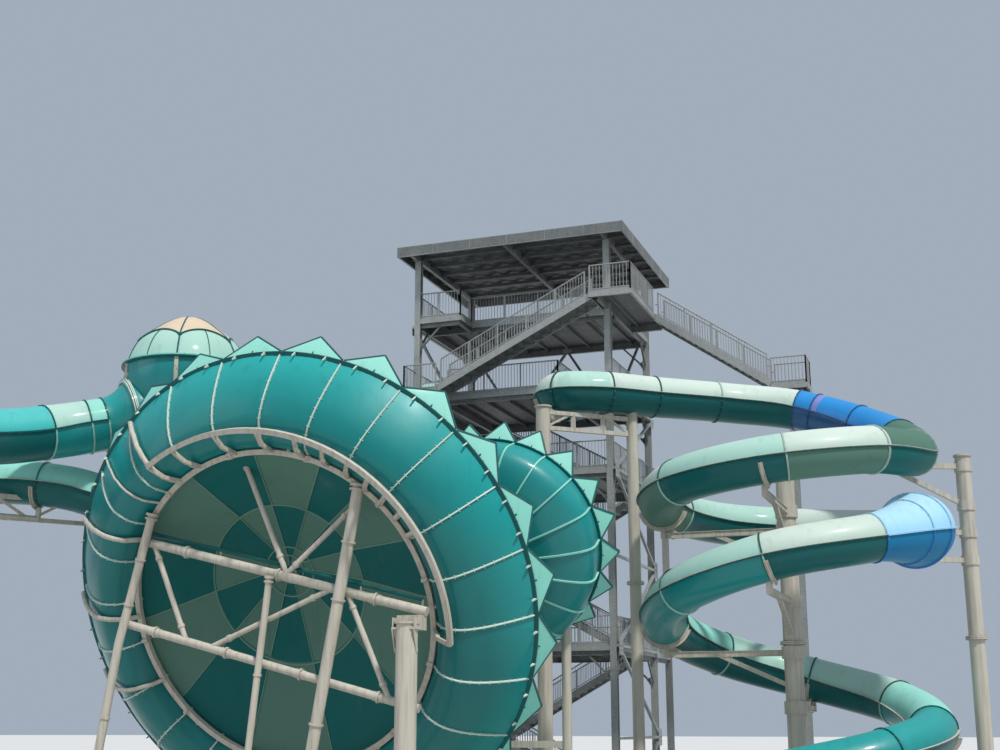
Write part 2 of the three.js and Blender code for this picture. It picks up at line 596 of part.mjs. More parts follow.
for (const [from, to] of [
  [[SIDE_STAIR.end, SIDE_POST.y], [SIDE_LANDING.end, SIDE_POST.y]],
  [[SIDE_POST.x, SIDE_STAIR.low], [SIDE_POST.x, SIDE_STAIR.high]],
]) {
  sideStair.bar(at(...from, landingBeamZ), at(...to, landingBeamZ), SIDE_LANDING.beam,
    SIDE_LANDING.beamDepth);
}
sideStair.foot(SIDE_POST.x, SIDE_POST.y);
sideStair.bar(at(SIDE_POST.x, SIDE_POST.y, 0), at(SIDE_POST.x, SIDE_POST.y, SIDE_LANDING.z - PLATE), COLUMN);
piece("side_stair", GALVANISED, sideStair);

// Rear stair: flights in two lanes, intermediate landings on the left, posts behind
const STAIR_POSTS = [[0, 3 * STOREY], [BAY_X, 4 * STOREY]];
STAIR_POSTS.forEach(([x, top], i) => {
  const y = LANDING_EDGE + COLUMN / 2;
  const post = new Steelwork().foot(x, y).bar(at(x, y, 0), at(x, y, top), COLUMN);
  piece(`stair_post_${i + 1}`, GALVANISED, post);
});

function stairLanding(level) {
  const near = BAY_Y + COLUMN / 2;
  const beamLine = near + EDGE_BEAM.width / 2;
  const outline = [[LOW_X, near], [LANDING_END, near], [LANDING_END, LANDING_EDGE], [LOW_X, LANDING_EDGE]];
  const beams = [[0, beamLine, LANDING_END, beamLine], [0, near, 0, LANDING_EDGE],
    [0, LANDING_EDGE - SIDE, LANDING_END, LANDING_EDGE - SIDE]];
  const guards = [[[LOW_X + GUARD_INSET, beamLine], [LOW_X + GUARD_INSET, LANDING_EDGE - GUARD_INSET],
    [LANDING_END - GUARD_INSET, LANDING_EDGE - GUARD_INSET]]];
  return deck(level, outline, beams, guards);
}

// Two flights with the landing between them
function rearStair(storey) {
  const frame = stairLanding((storey + 1) * STOREY);
  const [left, right] = REAR_RUN;
  const [bottom, middle, top] = [storey * STOREY, (storey + 1) * STOREY, (storey + 2) * STOREY];
  const start = { x: right, z: bottom, held: storey > 0 ? HUNG : undefined };
  flight(frame, start, { x: left, z: middle, held: JOINED }, LANE_NEAR);
  flight(frame, { x: left, z: middle, held: JOINED }, { x: right, z: top, held: HUNG }, LANE_FAR);
  return frame;
}
piece("rear_stair_lower", GALVANISED, rearStair(0));
piece("rear_stair_middle", GALVANISED, rearStair(2));
const rearStairUpper = new Steelwork();
flight(rearStairUpper, { x: REAR_RUN[1], z: 4 * STOREY, held: HUNG },
  { x: REAR_RUN[0], z: 5 * STOREY, held: HUNG }, LANE_NEAR);
piece("rear_stair_upper", GALVANISED, rearStairUpper);

// Side bracing: a flat lattice outside the columns, one diagonal a storey
function sideBracing(x, storeys) {
  const frame = new Steelwork();
  for (let storey = 0; storey < storeys; storey += 1) {
    const low = Math.max(storey * STOREY, BRACE);
    const high = (storey + 1) * STOREY - (storey + 1 === storeys ? EDGE_BEAM.depth : 0);
    const [near, far] = storey % 2 ? [BAY_Y, 0] : [0, BAY_Y];
    frame.bar(at(x, near, low), at(x, far, high), BRACE);
    frame.bar(at(x, -COLUMN / 2, high), at(x, BAY_Y + COLUMN / 2, high), BRACE);
  }
  return frame;
}
const BRACING_OFFSET = COLUMN / 2 + BRACE / 2 + GAP / METRE;
piece("bracing_left", GALVANISED, sideBracing(-BRACING_OFFSET, 6));
piece("bracing_right", GALVANISED, sideBracing(BAY_X + BRACING_OFFSET, 5));

// Right slide route: start on deck 3, elbow, run along the front, then the helix
const helixPoint = (quarter) => {
  const angle = quarter * Math.PI / 2;
  const index = Math.floor(quarter);
  const next = Math.min(index + 1, HELIX_HEIGHTS.length - 1);
  const z = THREE.MathUtils.lerp(HELIX_HEIGHTS[index], HELIX_HEIGHTS[next], quarter - index);
  const x = HELIX_CENTRE.x + HELIX_RADIUS * Math.sin(angle);
  return at(x, HELIX_CENTRE.y + HELIX_RADIUS * Math.cos(angle), z);
};
const rightPoints = [at(6.9, 3.2, 17.05), at(6.9, 0.8, 16.2), at(6.9, -1.6, 15.5), at(6.95, -3.4, 15.2),
  at(7.5, -4.65, 15.15), at(8.8, -4.25, 15.15), at(10.4, -2.85, 15.15), at(12.9, -1.05, 15.1)];
const HELIX_START = rightPoints.length;
for (let eighth = 0; eighth <= 20; eighth += 1) rightPoints.push(helixPoint(eighth / 2));
rightPoints.push(at(12.7, -9.45, 1.75), at(9.8, -10.2, 1.35), at(6.9, -10.3, 1.3));
const rightRoute = new Route(rightPoints);
const flareStart = HELIX_START + 9;
const flareEnd = HELIX_START + 11;
const rightStations = [
  ["elbow_tube", 0, 6, TEAL_GELCOAT], ["upper_tube", 6, HELIX_START, TEAL_GELCOAT],
  ["blue_tube", HELIX_START, HELIX_START + 2, BLUE_GELCOAT],
  ["helix_tube_1", HELIX_START + 2, HELIX_START + 5, TEAL_GELCOAT],
  ["helix_tube_2", HELIX_START + 5, flareStart, TEAL_GELCOAT],
  ["helix_tube_3", flareEnd, flareEnd + 4, TEAL_GELCOAT],
  ["helix_tube_4", flareEnd + 4, HELIX_START + 20, TEAL_GELCOAT],
  ["run_out_tube", HELIX_START + 20, rightPoints.length - 1, TEAL_GELCOAT],
];
for (const [name, from, to, material] of rightStations) {
  piece(name, material, tube(rightRoute, from, to, TUBE_RADIUS));
}

function flareRadius(t) {
  const rise = Math.sin(Math.PI / 2 * Math.min(1, t / FLARE.peak)) ** 2;
  const fall = Math.min(1, (1 - t) / (1 - FLARE.peak)) ** FLARE.trumpet;
  return TUBE_RADIUS + (FLARE.radius - TUBE_RADIUS) * rise * fall;
}
piece("flared_chamber", SKY_GELCOAT,
  taperedTube(rightRoute, flareStart, flareEnd, flareRadius, FLARE.steps));

// Bowl frame: local X to the right, local Y up the back, local Z out of the mouth
const bowlAxis = new THREE.Vector3(0, Math.cos(BOWL_TILT), Math.sin(BOWL_TILT));
const bowlUp = new THREE.Vector3(0, -Math.sin(BOWL_TILT), Math.cos(BOWL_TILT));
const bowlMatrix = new THREE.Matrix4().makeBasis(new THREE.Vector3(1, 0, 0), bowlUp, bowlAxis)
  .setPosition(at(BOWL_CENTRE.x, BOWL_CENTRE.y, BOWL_CENTRE.z));

// A point of the bowl from its radius, its angle from the right and its distance out of the mouth
function bowlPoint(radius, degrees, out, centre = bowlMatrix) {
  const angle = THREE.MathUtils.degToRad(degrees);
  return at(radius * Math.cos(angle), radius * Math.sin(angle), out).applyMatrix4(centre);
}

// Outline of a shell of even thickness along a line of [radius, out] points
function shellOutline(line, thickness, grow) {
  const half = thickness * METRE / 2 + grow;
  const points = line.map(([r, t]) => new THREE.Vector2(r, t).multiplyScalar(METRE));
  const first = points[0].clone().sub(points[1]).setLength(grow);
  const last = points.at(-1).clone().sub(points.at(-2)).setLength(grow);
  if (grow > 0) {
    points[0].add(first);
    points[points.length - 1].add(last);
  }
  const normals = points.map((_, i) => {
    const from = points[Math.max(0, i - 1)];
    const to = points[Math.min(points.length - 1, i + 1)];
    const along = to.clone().sub(from).normalize();
    return new THREE.Vector2(-along.y, along.x);
  });
  const left = points.map((p, i) => p.clone().addScaledVector(normals[i], half));
  const right = points.map((p, i) => p.clone().addScaledVector(normals[i], -half));
  return [...left, ...right.reverse()];
}

// An arc round the bowl's axis, for sections drawn as [radius, out]
class AxisArc extends THREE.Curve {
  constructor(from, to) {
    super();
    Object.assign(this, { from, to });
  }

  angle(t) {
    return this.from + (this.to - this.from) * t;
  }

  getPoint(t) {
    return new THREE.Vector3(Math.cos(this.angle(t)), Math.sin(this.angle(t)), 0);
  }

  computeFrenetFrames(segments) {
    const frames = { tangents: [], normals: [], binormals: [] };
    for (let i = 0; i <= segments; i += 1) {
      const angle = this.angle(i / segments);
      frames.tangents.push(new THREE.Vector3(-Math.sin(angle), Math.cos(angle), 0));
      frames.normals.push(new THREE.Vector3(Math.cos(angle), Math.sin(angle), 0));
      frames.binormals.push(new THREE.Vector3(0, 0, -1));
    }
    return frames;
  }
}

function turned(outline, fromAngle, toAngle, steps, matrix = bowlMatrix) {
  const shape = new THREE.Shape(outline.map((p) => new THREE.Vector2(p.x - 1, -p.y)));
  const path = new AxisArc(fromAngle, toAngle);
  const geometry = new THREE.ExtrudeGeometry(shape, { steps, extrudePath: path, bevelEnabled: false });
  return toSolid(geometry.applyMatrix4(matrix));
}

const panelAngle = 2 * Math.PI / BOWL_PANELS;
const WALL_PARTS = 4;
const partAngle = 2 * Math.PI / WALL_PARTS;

// The wall's section: the rim flange, the outer skin down to the lip, and the inner skin back up
function wallOutline(grow) {
  const skin = shellOutline(TROUGH, BOWL_WALL, grow);
  const outer = skin.slice(1, TROUGH.length);
  const inner = skin.slice(TROUGH.length, -1);
  const half = RIM.half * METRE + grow;
  const under = new THREE.Vector2(skin[0].x, -half);
  const [low, high] = [RIM.inner * METRE - grow, RIM.outer * METRE + grow];
  const flange = [[low, half], [high, half], [high, -half]].map(([r, t]) => new THREE.Vector2(r, t));
  return [...flange, under, ...outer, ...inner];
}

for (let part = 0; part < WALL_PARTS; part += 1) {
  piece(`bowl_wall_${part + 1}`, TEAL_GELCOAT, (grow) => {
    const from = SEAM_PHASE + part * partAngle + GAP / (BOWL_RADIUS * METRE);
    const reach = grow / (BOWL_RADIUS * METRE);
    const to = SEAM_PHASE + (part + 1) * partAngle;
    return turned(wallOutline(grow), from - reach, to + reach, BOWL_PANELS / WALL_PARTS);
  });
}

// The back is a cone whose point drifts sideways and up, in an outer and an inner ring of sectors
function backRing(line) {
  return (grow) => {
    const half = BOWL_WALL * METRE / 2 + grow;
    const points = line.map(([r, t]) => new THREE.Vector2(r * METRE, t * METRE));
    points[0].x += grow;
    const shift = (point, change) => new THREE.Vector2(point.x, point.y + change);
    const upper = points.map((point) => shift(point, half));
    const lower = points.map((point) => shift(point, -half)).reverse();
    const geometry = new THREE.LatheGeometry([...upper, ...lower, upper[0]], BOWL_PANELS);
    geometry.rotateX(Math.PI / 2).rotateZ(SEAM_PHASE);
    const position = geometry.getAttribute("position");
    for (let i = 0; i < position.count; i += 1) {
      const depth = Math.max(0, position.getZ(i) - BACK_DEPTH.outer * METRE);
      position.setXY(i, position.getX(i) + BACK_DRIFT.x * depth, position.getY(i) + BACK_DRIFT.y * depth);
    }
    return toSolid(geometry.applyMatrix4(bowlMatrix));
  };
}
const LIP_JOINT = TROUGH_LIP - BOWL_WALL / 2 - GAP / METRE;
piece("bowl_back_outer", DARK_GREEN, backRing([[LIP_JOINT, BACK_DEPTH.outer],
  [BACK_CONE.middle, BACK_DEPTH.middle]]));
piece("bowl_back_inner", LIGHT_GREEN, backRing([[BACK_CONE.middle - GAP / METRE, BACK_DEPTH.middle],
  [BACK_CONE.inner, BACK_DEPTH.inner], [0, BACK_DEPTH.inner]]));

// Fins: one pointed fin a panel, leaning out from the rim
function finRing(radius, fromAngle, step, panels, matrix, grow) {
  const more = grow / METRE;
  const base = RIM.half + GAP / METRE - more;
  const half = FIN.thickness / 2 + more;
  const column = (angle, tall) => {
    const corner = (r, t) => bowlPoint(radius + r, THREE.MathUtils.radToDeg(angle), base + t, matrix);
    const tip = [FIN.spread * tall, FIN.rise * tall];
    return [corner(half, 0), corner(tip[0] + half, tip[1]), corner(tip[0] - half, tip[1]), corner(-half, 0)];
  };
  const closed = panels * step > 2 * Math.PI - MERGE;
  const sections = [];
  for (let i = 0; i < 2 * panels + (closed ? 0 : 1); i += 1) {
    sections.push(column(fromAngle + i * step / 2, (i % 2 ? FIN.height : FIN.valley) + 2 * more));
  }
  return loft(sections, closed);
}
piece("fin_crown", MINT_GELCOAT, (grow) => (
  finRing(BOWL_RADIUS + RIM.half, SEAM_PHASE, panelAngle, BOWL_PANELS, bowlMatrix, grow)));

// A solid turned about its own axis from an outline of [radius, out] points, on its open mouth's frame
function lathed(outline, sides, matrix) {
  const profile = [...outline, outline[0]].map((p) => new THREE.Vector2(Math.max(p.x, 0), p.y));
  return toSolid(new THREE.LatheGeometry(profile, sides).rotateX(Math.PI / 2).applyMatrix4(matrix));
}

// A smaller dish of the same kind stands behind the bowl's right side
const dishMatrix = bowlMatrix.clone().setPosition(at(DISH_CENTRE.x, DISH_CENTRE.y, DISH_CENTRE.z));
const DISH = [[DISH_RADIUS, RIM.half], [DISH_RADIUS, -DISH_DEPTH], [0.8 * DISH_RADIUS, -1.5 * DISH_DEPTH],
  [0.4 * DISH_RADIUS, -1.85 * DISH_DEPTH], [0, -1.85 * DISH_DEPTH]];
piece("small_dish", TEAL_GELCOAT, (grow) => (
  lathed(shellOutline(DISH, BOWL_WALL, grow), DISH_PANELS, dishMatrix)));
piece("small_dish_fins", MINT_GELCOAT, (grow) => (
  finRing(DISH_RADIUS, 0, 2 * Math.PI / DISH_PANELS, DISH_PANELS, dishMatrix, grow)));

// Left slide: feed tube from the tower, dome chamber, loop, and the tube into the bowl
const feedRoute = new Route([at(0.6, 1.56, 16.75), at(-0.9, 0.9, 16.4), at(-2.6, -2.2, 15.9),
  at(-3.9, -5.6, 15.4), at(-4.3, -8.2, 15.0), at(-4.15, -9.6, 14.8)]);
piece("feed_tube", TEAL_GELCOAT, tube(feedRoute, 0, 5, BIG_TUBE_RADIUS));

// Route of the left slide beyond the dome: a loop to the left and a drop into the bowl
const leftPoints = [at(-4.6, -11.6, 13.75), at(-5.68, -12.7, 13.34), at(-6.6, -13.7, 13.0),
  at(-7.5, -15.4, 12.55),
  at(-8.6, -17.3, 12.3), at(-10.4, -18.2, 12.1), at(-12.2, -17.3, 11.95), at(-12.9, -15.6, 11.85),
  at(-12.0, -13.9, 11.75), at(-10.2, -13.1, 11.65), at(-8.0, -12.7, 11.5), at(-6.5, -12.15, 11.2),
  at(-5.3, -11.75, 10.6), at(-4.2, -12.2, 9.7)];
const leftRoute = new Route(leftPoints);

// The dome: a lower shell with a trumpet that leads to the outlet, and a round cap on its flange
const domeMatrix = new THREE.Matrix4().setPosition(at(DOME_CENTRE.x, DOME_CENTRE.y, DOME_FLANGE));

// A full body inside a line of [radius, out] points, moved outwards by a distance
function domeBody(line, change) {
  const outline = line.map(([r, t]) => new THREE.Vector2(r ? r * METRE + change : 0, t * METRE));
  const bottom = line.length - 1;
  const rise = Math.sign(line[bottom][1]) * change;
  outline[bottom].y += rise;
  outline[bottom - 1].y += rise;
  const reach = Math.sign(line[bottom][1]) * (change < 0 ? METRE / 100 : change);
  outline[0].y -= reach;
  return lathed([...outline, new THREE.Vector2(0, outline[0].y)], DOME_SIDES, domeMatrix);
}

function outletRadius(t) {
  const share = Math.min(1, (1 - t) / (1 - OUTLET.flared));
  return BIG_TUBE_RADIUS + (OUTLET.mouth - BIG_TUBE_RADIUS) * share ** 2;
}

function outletBody(change) {
  const stretch = new Stretch(leftRoute, 0, 1, change < 0 ? 1 : change);
  return loft(sectionsAlong(stretch, OUTLET.steps, (t) => polygon(outletRadius(t) * METRE + change)));
}

piece("dome_chamber", TEAL_GELCOAT, (grow) => {
  const body = join([domeBody(LOWER_DOME, grow), outletBody(grow)]);
  if (grow > 0) return body;
  return body.subtract(domeBody(LOWER_DOME, -TUBE_WALL * METRE)).subtract(outletBody(-TUBE_WALL * METRE));
});
piece("dome_cap", MINT_GELCOAT, (grow) => {
  const body = domeBody(UPPER_DOME, grow);
  return grow > 0 ? body : body.subtract(domeBody(UPPER_DOME, -TUBE_WALL * METRE));
});
piece("left_tube", TEAL_GELCOAT, tube(leftRoute, 1, 9, BIG_TUBE_RADIUS));
piece("lower_left_tube", TEAL_GELCOAT, tube(leftRoute, 9, 13, TUBE_RADIUS));

// A round column from its base plate up
function column({ x, y, top, diameter, sides, plate: side }) {
  return new Steelwork().foot(x, y, side).pipe(at(x, y, 0), at(x, y, top), diameter, sides);
}
const lineOf = ({ x, y }) => at(x, y, 0);
const raised = (foot, height) => foot.clone().setZ(height * METRE);
const above = (point, height) => point.clone().add(at(0, 0, height));

// Right slide: two columns with a truss between them carry the elbow
const [elbowLine, trussLine] = [ELBOW_COLUMN, TRUSS_COLUMN].map(lineOf);
const elbowFrame = column(ELBOW_COLUMN);
elbowFrame.members.push(...column(TRUSS_COLUMN).members);
for (const z of [TRUSS.low, TRUSS.high]) {
  elbowFrame.bar(raised(elbowLine, z), raised(trussLine, z), TRUSS.bar);
}
for (let i = 1; i < TRUSS.bays; i += 1) {
  const foot = elbowLine.clone().lerp(trussLine, i / TRUSS.bays);
  elbowFrame.bar(raised(foot, TRUSS.low), raised(foot, TRUSS.high), TRUSS.bar);
}
elbowFrame.bar(raised(elbowLine, ELBOW_ARM.z), at(ELBOW_ARM.x, ELBOW_ARM.y, ELBOW_ARM.z), ELBOW_ARM.width,
  ELBOW_ARM.depth);
piece("elbow_frame", CREAM_PAINT, elbowFrame);

// The mast in the middle of the helix holds every turn on an arm with a knee below it
const mastLine = lineOf(HELIX_CENTRE);
const helixMast = column({ ...HELIX_CENTRE, ...MAST });
for (const quarter of MAST_ARMS) {
  const centre = helixPoint(quarter);
  const inner = mastLine.clone().setZ(centre.z - ARM.drop * METRE);
  const under = centre.clone().setZ(inner.z);
  helixMast.bar(inner, under, ARM.width);
  helixMast.bar(above(under, -ARM.width / 2), above(under, ARM.reach), ARM.stub);
  helixMast.bar(above(inner, -ARM.knee), inner.clone().lerp(under, ARM.kneeShare), ARM.kneeWidth);
}
piece("helix_mast", CREAM_PAINT, helixMast);

const outerLine = lineOf(OUTER_COLUMN);
const outerColumn = column(OUTER_COLUMN);
const [tieFrom, tieTo] = [raised(outerLine, TIE.z), raised(mastLine, TIE.z)];
outerColumn.bar(tieFrom, tieTo, TIE.width);
outerColumn.bar(raised(outerLine, TIE.kneeFoot), tieFrom.clone().lerp(tieTo, TIE.kneeShare), TIE.kneeWidth);
for (const z of FLARE_ARMS.heights) {
  outerColumn.bar(raised(outerLine, z), raised(helixPoint(FLARE_ARMS.quarter), z), FLARE_ARMS.width);
}
const lowArm = above(helixPoint(LOW_ARM.quarter), -LOW_ARM.drop);
outerColumn.bar(outerLine.clone().setZ(lowArm.z), lowArm, LOW_ARM.width);
outerColumn.bar(above(lowArm, -LOW_ARM.width / 2), above(lowArm, LOW_ARM.reach), LOW_ARM.stub);
piece("outer_column", CREAM_PAINT, outerColumn);

// Steelwork on the bowl's back: a ring, and a second chord with rungs over its upper part
const ringSection = ({ radius, out }, grow) => (
  polygon(RING.width / 2 * METRE + grow, 4).map((p) => (
    p.add(new THREE.Vector2(radius * METRE, out * METRE)))));
const deg = THREE.MathUtils.degToRad;
const ringFrame = new Steelwork();
ringFrame.members.push((grow) => {
  const outline = ringSection(RING, grow);
  const geometry = new THREE.LatheGeometry([...outline, outline[0]], BOWL_PANELS);
  return toSolid(geometry.rotateX(Math.PI / 2).rotateZ(SEAM_PHASE).applyMatrix4(bowlMatrix));
});
ringFrame.members.push((grow) => {
  const steps = (LADDER.to - LADDER.from) / LADDER.step;
  return turned(ringSection(LADDER, grow), deg(LADDER.from), deg(LADDER.to), steps);
});
for (const degrees of RUNGS) {
  const [foot, knee, head] = [RING, RUNG_KNEE, LADDER].map(({ radius, out }) => (
    bowlPoint(radius, degrees, out)));
  ringFrame.bar(foot, knee, LADDER.rung).bar(knee, head, LADDER.rung);
}
for (const degrees of RING.lugs) {
  const ends = [RING.radius, TROUGH_LIP + RING.reach].map((radius) => bowlPoint(radius, degrees, RING.out));
  ringFrame.bar(ends[0], ends[1], RING.lug);
}
piece("bowl_ring_frame", CREAM_PAINT, ringFrame);

// A flat frame of pipes ties the bowl to its legs
const inFrame = ([x, z], y = FRAME_Y) => at(x, y, z);
const crossFrame = new Steelwork();
for (const { from, to, diameter, sides } of CROSS_PIPES) {
  crossFrame.pipe(inFrame(from), inFrame(to), diameter, sides);
}
for (const [from, to] of STRUT_ENDS) {
  crossFrame.pipe(inFrame(from), inFrame(to), STRUTS.diameter, STRUTS.sides);
}
piece("bowl_cross_frame", CREAM_PAINT, crossFrame);

for (const [name, { points, diameter }] of Object.entries(LEGS)) {
  const y = FRAME_Y - LEG.behind - diameter / 2;
  const line = points.map((point) => inFrame(point, y));
  const leg = new Steelwork().chain(line, diameter, LEG.sides).foot(points.at(-1)[0], y, LEG.plate);
  piece(name, CREAM_PAINT, leg);
}
piece("bowl_column", CREAM_PAINT, column(BOWL_COLUMN).block(at(...BOWL_HEAD.low), at(...BOWL_HEAD.high)));

// Left slide: the dome's post also props the bowl, and a link ties it to the mast inside the loop
const [domeLine, loopLine] = [DOME_POST, LOOP_POST].map(lineOf);
const domeFoot = lineOf(DOME_CENTRE);
const domeFrame = column(DOME_POST)
  .bar(raised(domeLine, DOME_ARM.z), at(DOME_CENTRE.x, DOME_CENTRE.y - DOME_ARM.short, DOME_ARM.z),
    DOME_ARM.width, DOME_ARM.depth)
  .pipe(raised(domeFoot, DOME_SEAT.low), raised(domeFoot, DOME_SEAT.high), DOME_SEAT.diameter,
    DOME_SEAT.sides)
  .bar(raised(domeLine, TROUGH_STRUT.z),
    bowlPoint(TROUGH_STRUT.radius, TROUGH_STRUT.degrees, TROUGH_STRUT.out), TROUGH_STRUT.width);
piece("dome_column", CREAM_PAINT, domeFrame);

const loopFrame = column(LOOP_POST);
for (const z of [LINK.high, LINK.low]) loopFrame.bar(raised(loopLine, z), raised(domeLine, z), LINK.chord);
for (let i = 0; i < LINK.bays; i += 1) {
  const [foot, head] = [i, i + 1].map((n) => (
    raised(loopLine.clone().lerp(domeLine, n / LINK.bays), n % 2 ? LINK.high : LINK.low)));
  loopFrame.bar(foot, head, LINK.web);
}
for (const station of LOOP_ARMS) {
  const under = above(leftPoints[station], -LOOP_ARM.drop);
  loopFrame.pipe(loopLine.clone().setZ(under.z), under, LOOP_ARM.diameter, LOOP_ARM.sides);
  const stub = [above(under, LOOP_ARM.start), above(under, LOOP_ARM.reach)];
  loopFrame.pipe(stub[0], stub[1], LOOP_ARM.diameter, LOOP_ARM.sides);
}
piece("loop_mast", CREAM_PAINT, loopFrame);

const dishFrame = new Steelwork();
for (const x of DISH_POSTS.x) dishFrame.members.push(...column({ ...DISH_POSTS, x }).members);
const [dishFrom, dishTo] = DISH_POSTS.x.map((x) => at(x, DISH_POSTS.y, DISH_TIE.z));
dishFrame.bar(dishFrom, dishTo, DISH_TIE.width);
dishFrame.bar(dishFrom.clone().setX(elbowLine.x), raised(elbowLine, DISH_TIE.z), DISH_TIE.link);
piece("small_dish_frame", CREAM_PAINT, dishFrame);

// Open channel that leaves the bowl's lowest point, a half round on two saddles
const channelRoute = new Route([at(1.5, -8.85, 1.25), at(1.5, -7.0, 1.1), at(1.5, -4.6, 0.95)]);
function halfRound(radius) {
  const points = [];
  for (let i = 0; i <= CHANNEL.facets; i += 1) {
    const angle = Math.PI + Math.PI * i / CHANNEL.facets;
    points.push(new THREE.Vector2(radius * Math.cos(angle), radius * Math.sin(angle)));
  }
  return points;
}
const outlet = new Steelwork();
outlet.members.push((grow) => {
  const inner = grow > 0 ? [] : halfRound((CHANNEL.radius - TUBE_WALL) * METRE).reverse();
  const outline = [...halfRound(CHANNEL.radius * METRE + grow), ...inner];
  return swept(new Stretch(channelRoute, 0, 2, grow), CHANNEL.steps, outline);
});
for (const { y, top } of CHANNEL_SADDLES) outlet.block(at(1.2, y - 0.1, 0), at(1.8, y + 0.1, top));
piece("bowl_outlet", TEAL_GELCOAT, outlet);

// Cutting: a piece that meets one listed before it gives way to it, with a small clearance
const object = new THREE.Group();
const below = (a, b) => a.max.some((value, i) => value < b.min[i]);
const apart = (a, b) => below(a, b) || below(b, a);
const built = [];
for (const entry of pieces) {
  let solid = entry.make(0);
  for (const other of built) {
    if (apart(solid.boundingBox(), other.box)) continue;
    if (solid.intersect(other.exact).volume() > MERGE) solid = solid.subtract(other.larger);
  }
  const [exact] = solid.decompose().sort((a, b) => b.volume() - a.volume());
  const mesh = new THREE.Mesh(toGeometry(exact), entry.material);
  mesh.name = entry.name;
  object.add(mesh);
  built.push({ exact, larger: entry.make(GAP), box: exact.boundingBox() });
}

export default object;
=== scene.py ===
# %% [markdown]
# A water slide tower: a galvanised stair tower with two closed tube slides, a helix with a flared chamber,
# a domed chamber and a large tilted bowl. The solids of the part come in first as a fixed frame, in metres,
# with the origin at the foot of the tower's front left column. Everything below is dressed over them.

# %% The frame of solids
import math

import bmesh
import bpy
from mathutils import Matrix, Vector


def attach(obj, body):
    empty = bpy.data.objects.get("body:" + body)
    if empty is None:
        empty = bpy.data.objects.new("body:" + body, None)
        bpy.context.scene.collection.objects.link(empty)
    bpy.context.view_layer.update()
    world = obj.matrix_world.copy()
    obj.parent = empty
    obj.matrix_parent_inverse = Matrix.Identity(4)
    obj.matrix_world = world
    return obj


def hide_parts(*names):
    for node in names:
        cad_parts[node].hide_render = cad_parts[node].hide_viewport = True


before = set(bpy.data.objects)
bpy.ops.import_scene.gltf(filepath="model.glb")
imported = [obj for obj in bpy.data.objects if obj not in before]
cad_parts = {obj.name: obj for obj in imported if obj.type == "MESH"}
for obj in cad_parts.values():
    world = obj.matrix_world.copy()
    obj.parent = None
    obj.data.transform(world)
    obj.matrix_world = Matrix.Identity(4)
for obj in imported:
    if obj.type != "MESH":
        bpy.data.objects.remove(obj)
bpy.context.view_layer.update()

# %% [markdown]
# Meshes, materials and lights are made with Blender's own library, and places are worked out with its
# vectors.

# %% [markdown]
# The camera stands where the photographer stood: low, about fifty metres in front of the tower and a little
# to the right, tilted up fourteen degrees. It could be placed by hand, but a direction worked out from an
# azimuth and a tilt keeps the numbers readable.

# %% Camera
CAMERA_PLACE = Vector((21.94, -50.54, 3.8))
CAMERA_AZIMUTH = math.radians(20)
CAMERA_TILT = math.radians(14)
CAMERA_LENS = 50.4


def add_object(name, data):
    made = bpy.data.objects.new(name, data)
    bpy.context.scene.collection.objects.link(made)
    return made


def aim(item, direction):
    """Turns a camera or lamp so that it looks along a direction."""
    item.rotation_mode = "QUATERNION"
    item.rotation_quaternion = Vector(direction).to_track_quat("-Z", "Y")


camera_data = bpy.data.cameras.new("photo_camera")
camera_data.lens = CAMERA_LENS
camera_data.sensor_width = 36
camera_data.clip_end = 500
camera = add_object("photo_camera", camera_data)
camera.location = CAMERA_PLACE
looking = (
    -math.sin(CAMERA_AZIMUTH) * math.cos(CAMERA_TILT),
    math.cos(CAMERA_AZIMUTH) * math.cos(CAMERA_TILT),
    math.sin(CAMERA_TILT),
)
aim(camera, looking)
bpy.context.scene.camera = camera
print("camera looks along", [round(v, 3) for v in looking])

# %% [markdown]
# Shader maths reads best as plain arithmetic. Every output of a node is wrapped in one small class that
# overloads the operators with their reflected forms, so an expression such as 1 - mask adds its own Math
# node.

# %% Wrapper for shader sockets
class Out:
    """One output of a node in a finish."""

    def __init__(self, finish, socket):
        self.finish, self.socket = finish, socket

    def math(self, operation, *values):
        return self.finish.node("ShaderNodeMath", {"operation": operation}, dict(enumerate(values)))

    def __add__(self, other):
        return self.math("ADD", self, other)

    def __radd__(self, other):
        return self.math("ADD", other, self)

    def __sub__(self, other):
        return self.math("SUBTRACT", self, other)

    def __rsub__(self, other):
        return self.math("SUBTRACT", other, self)

    def __mul__(self, other):
        return self.math("MULTIPLY", self, other)

    def __rmul__(self, other):
        return self.math("MULTIPLY", other, self)

    def __truediv__(self, other):
        return self.math("DIVIDE", self, other)

    def __rtruediv__(self, other):
        return self.math("DIVIDE", other, self)

    def clamp(self):
        return self.math("MAXIMUM", self.math("MINIMUM", self, 1.0), 0.0)

    def between(self, low, high):
        """0 below low, 1 above high, and an even slope between them."""
        return ((self - low) / (high - low)).clamp()


print("shader wrapper ready")

# %% [markdown]
# A finish is one material with one main shader. Any node comes from one method, which takes the node's type,
# its settings and what goes into its sockets. Patterns that many finishes share, such as noise, a mix of two
# colours or the share of a face that looks at the sky, are methods too, so a finish reads as a recipe.

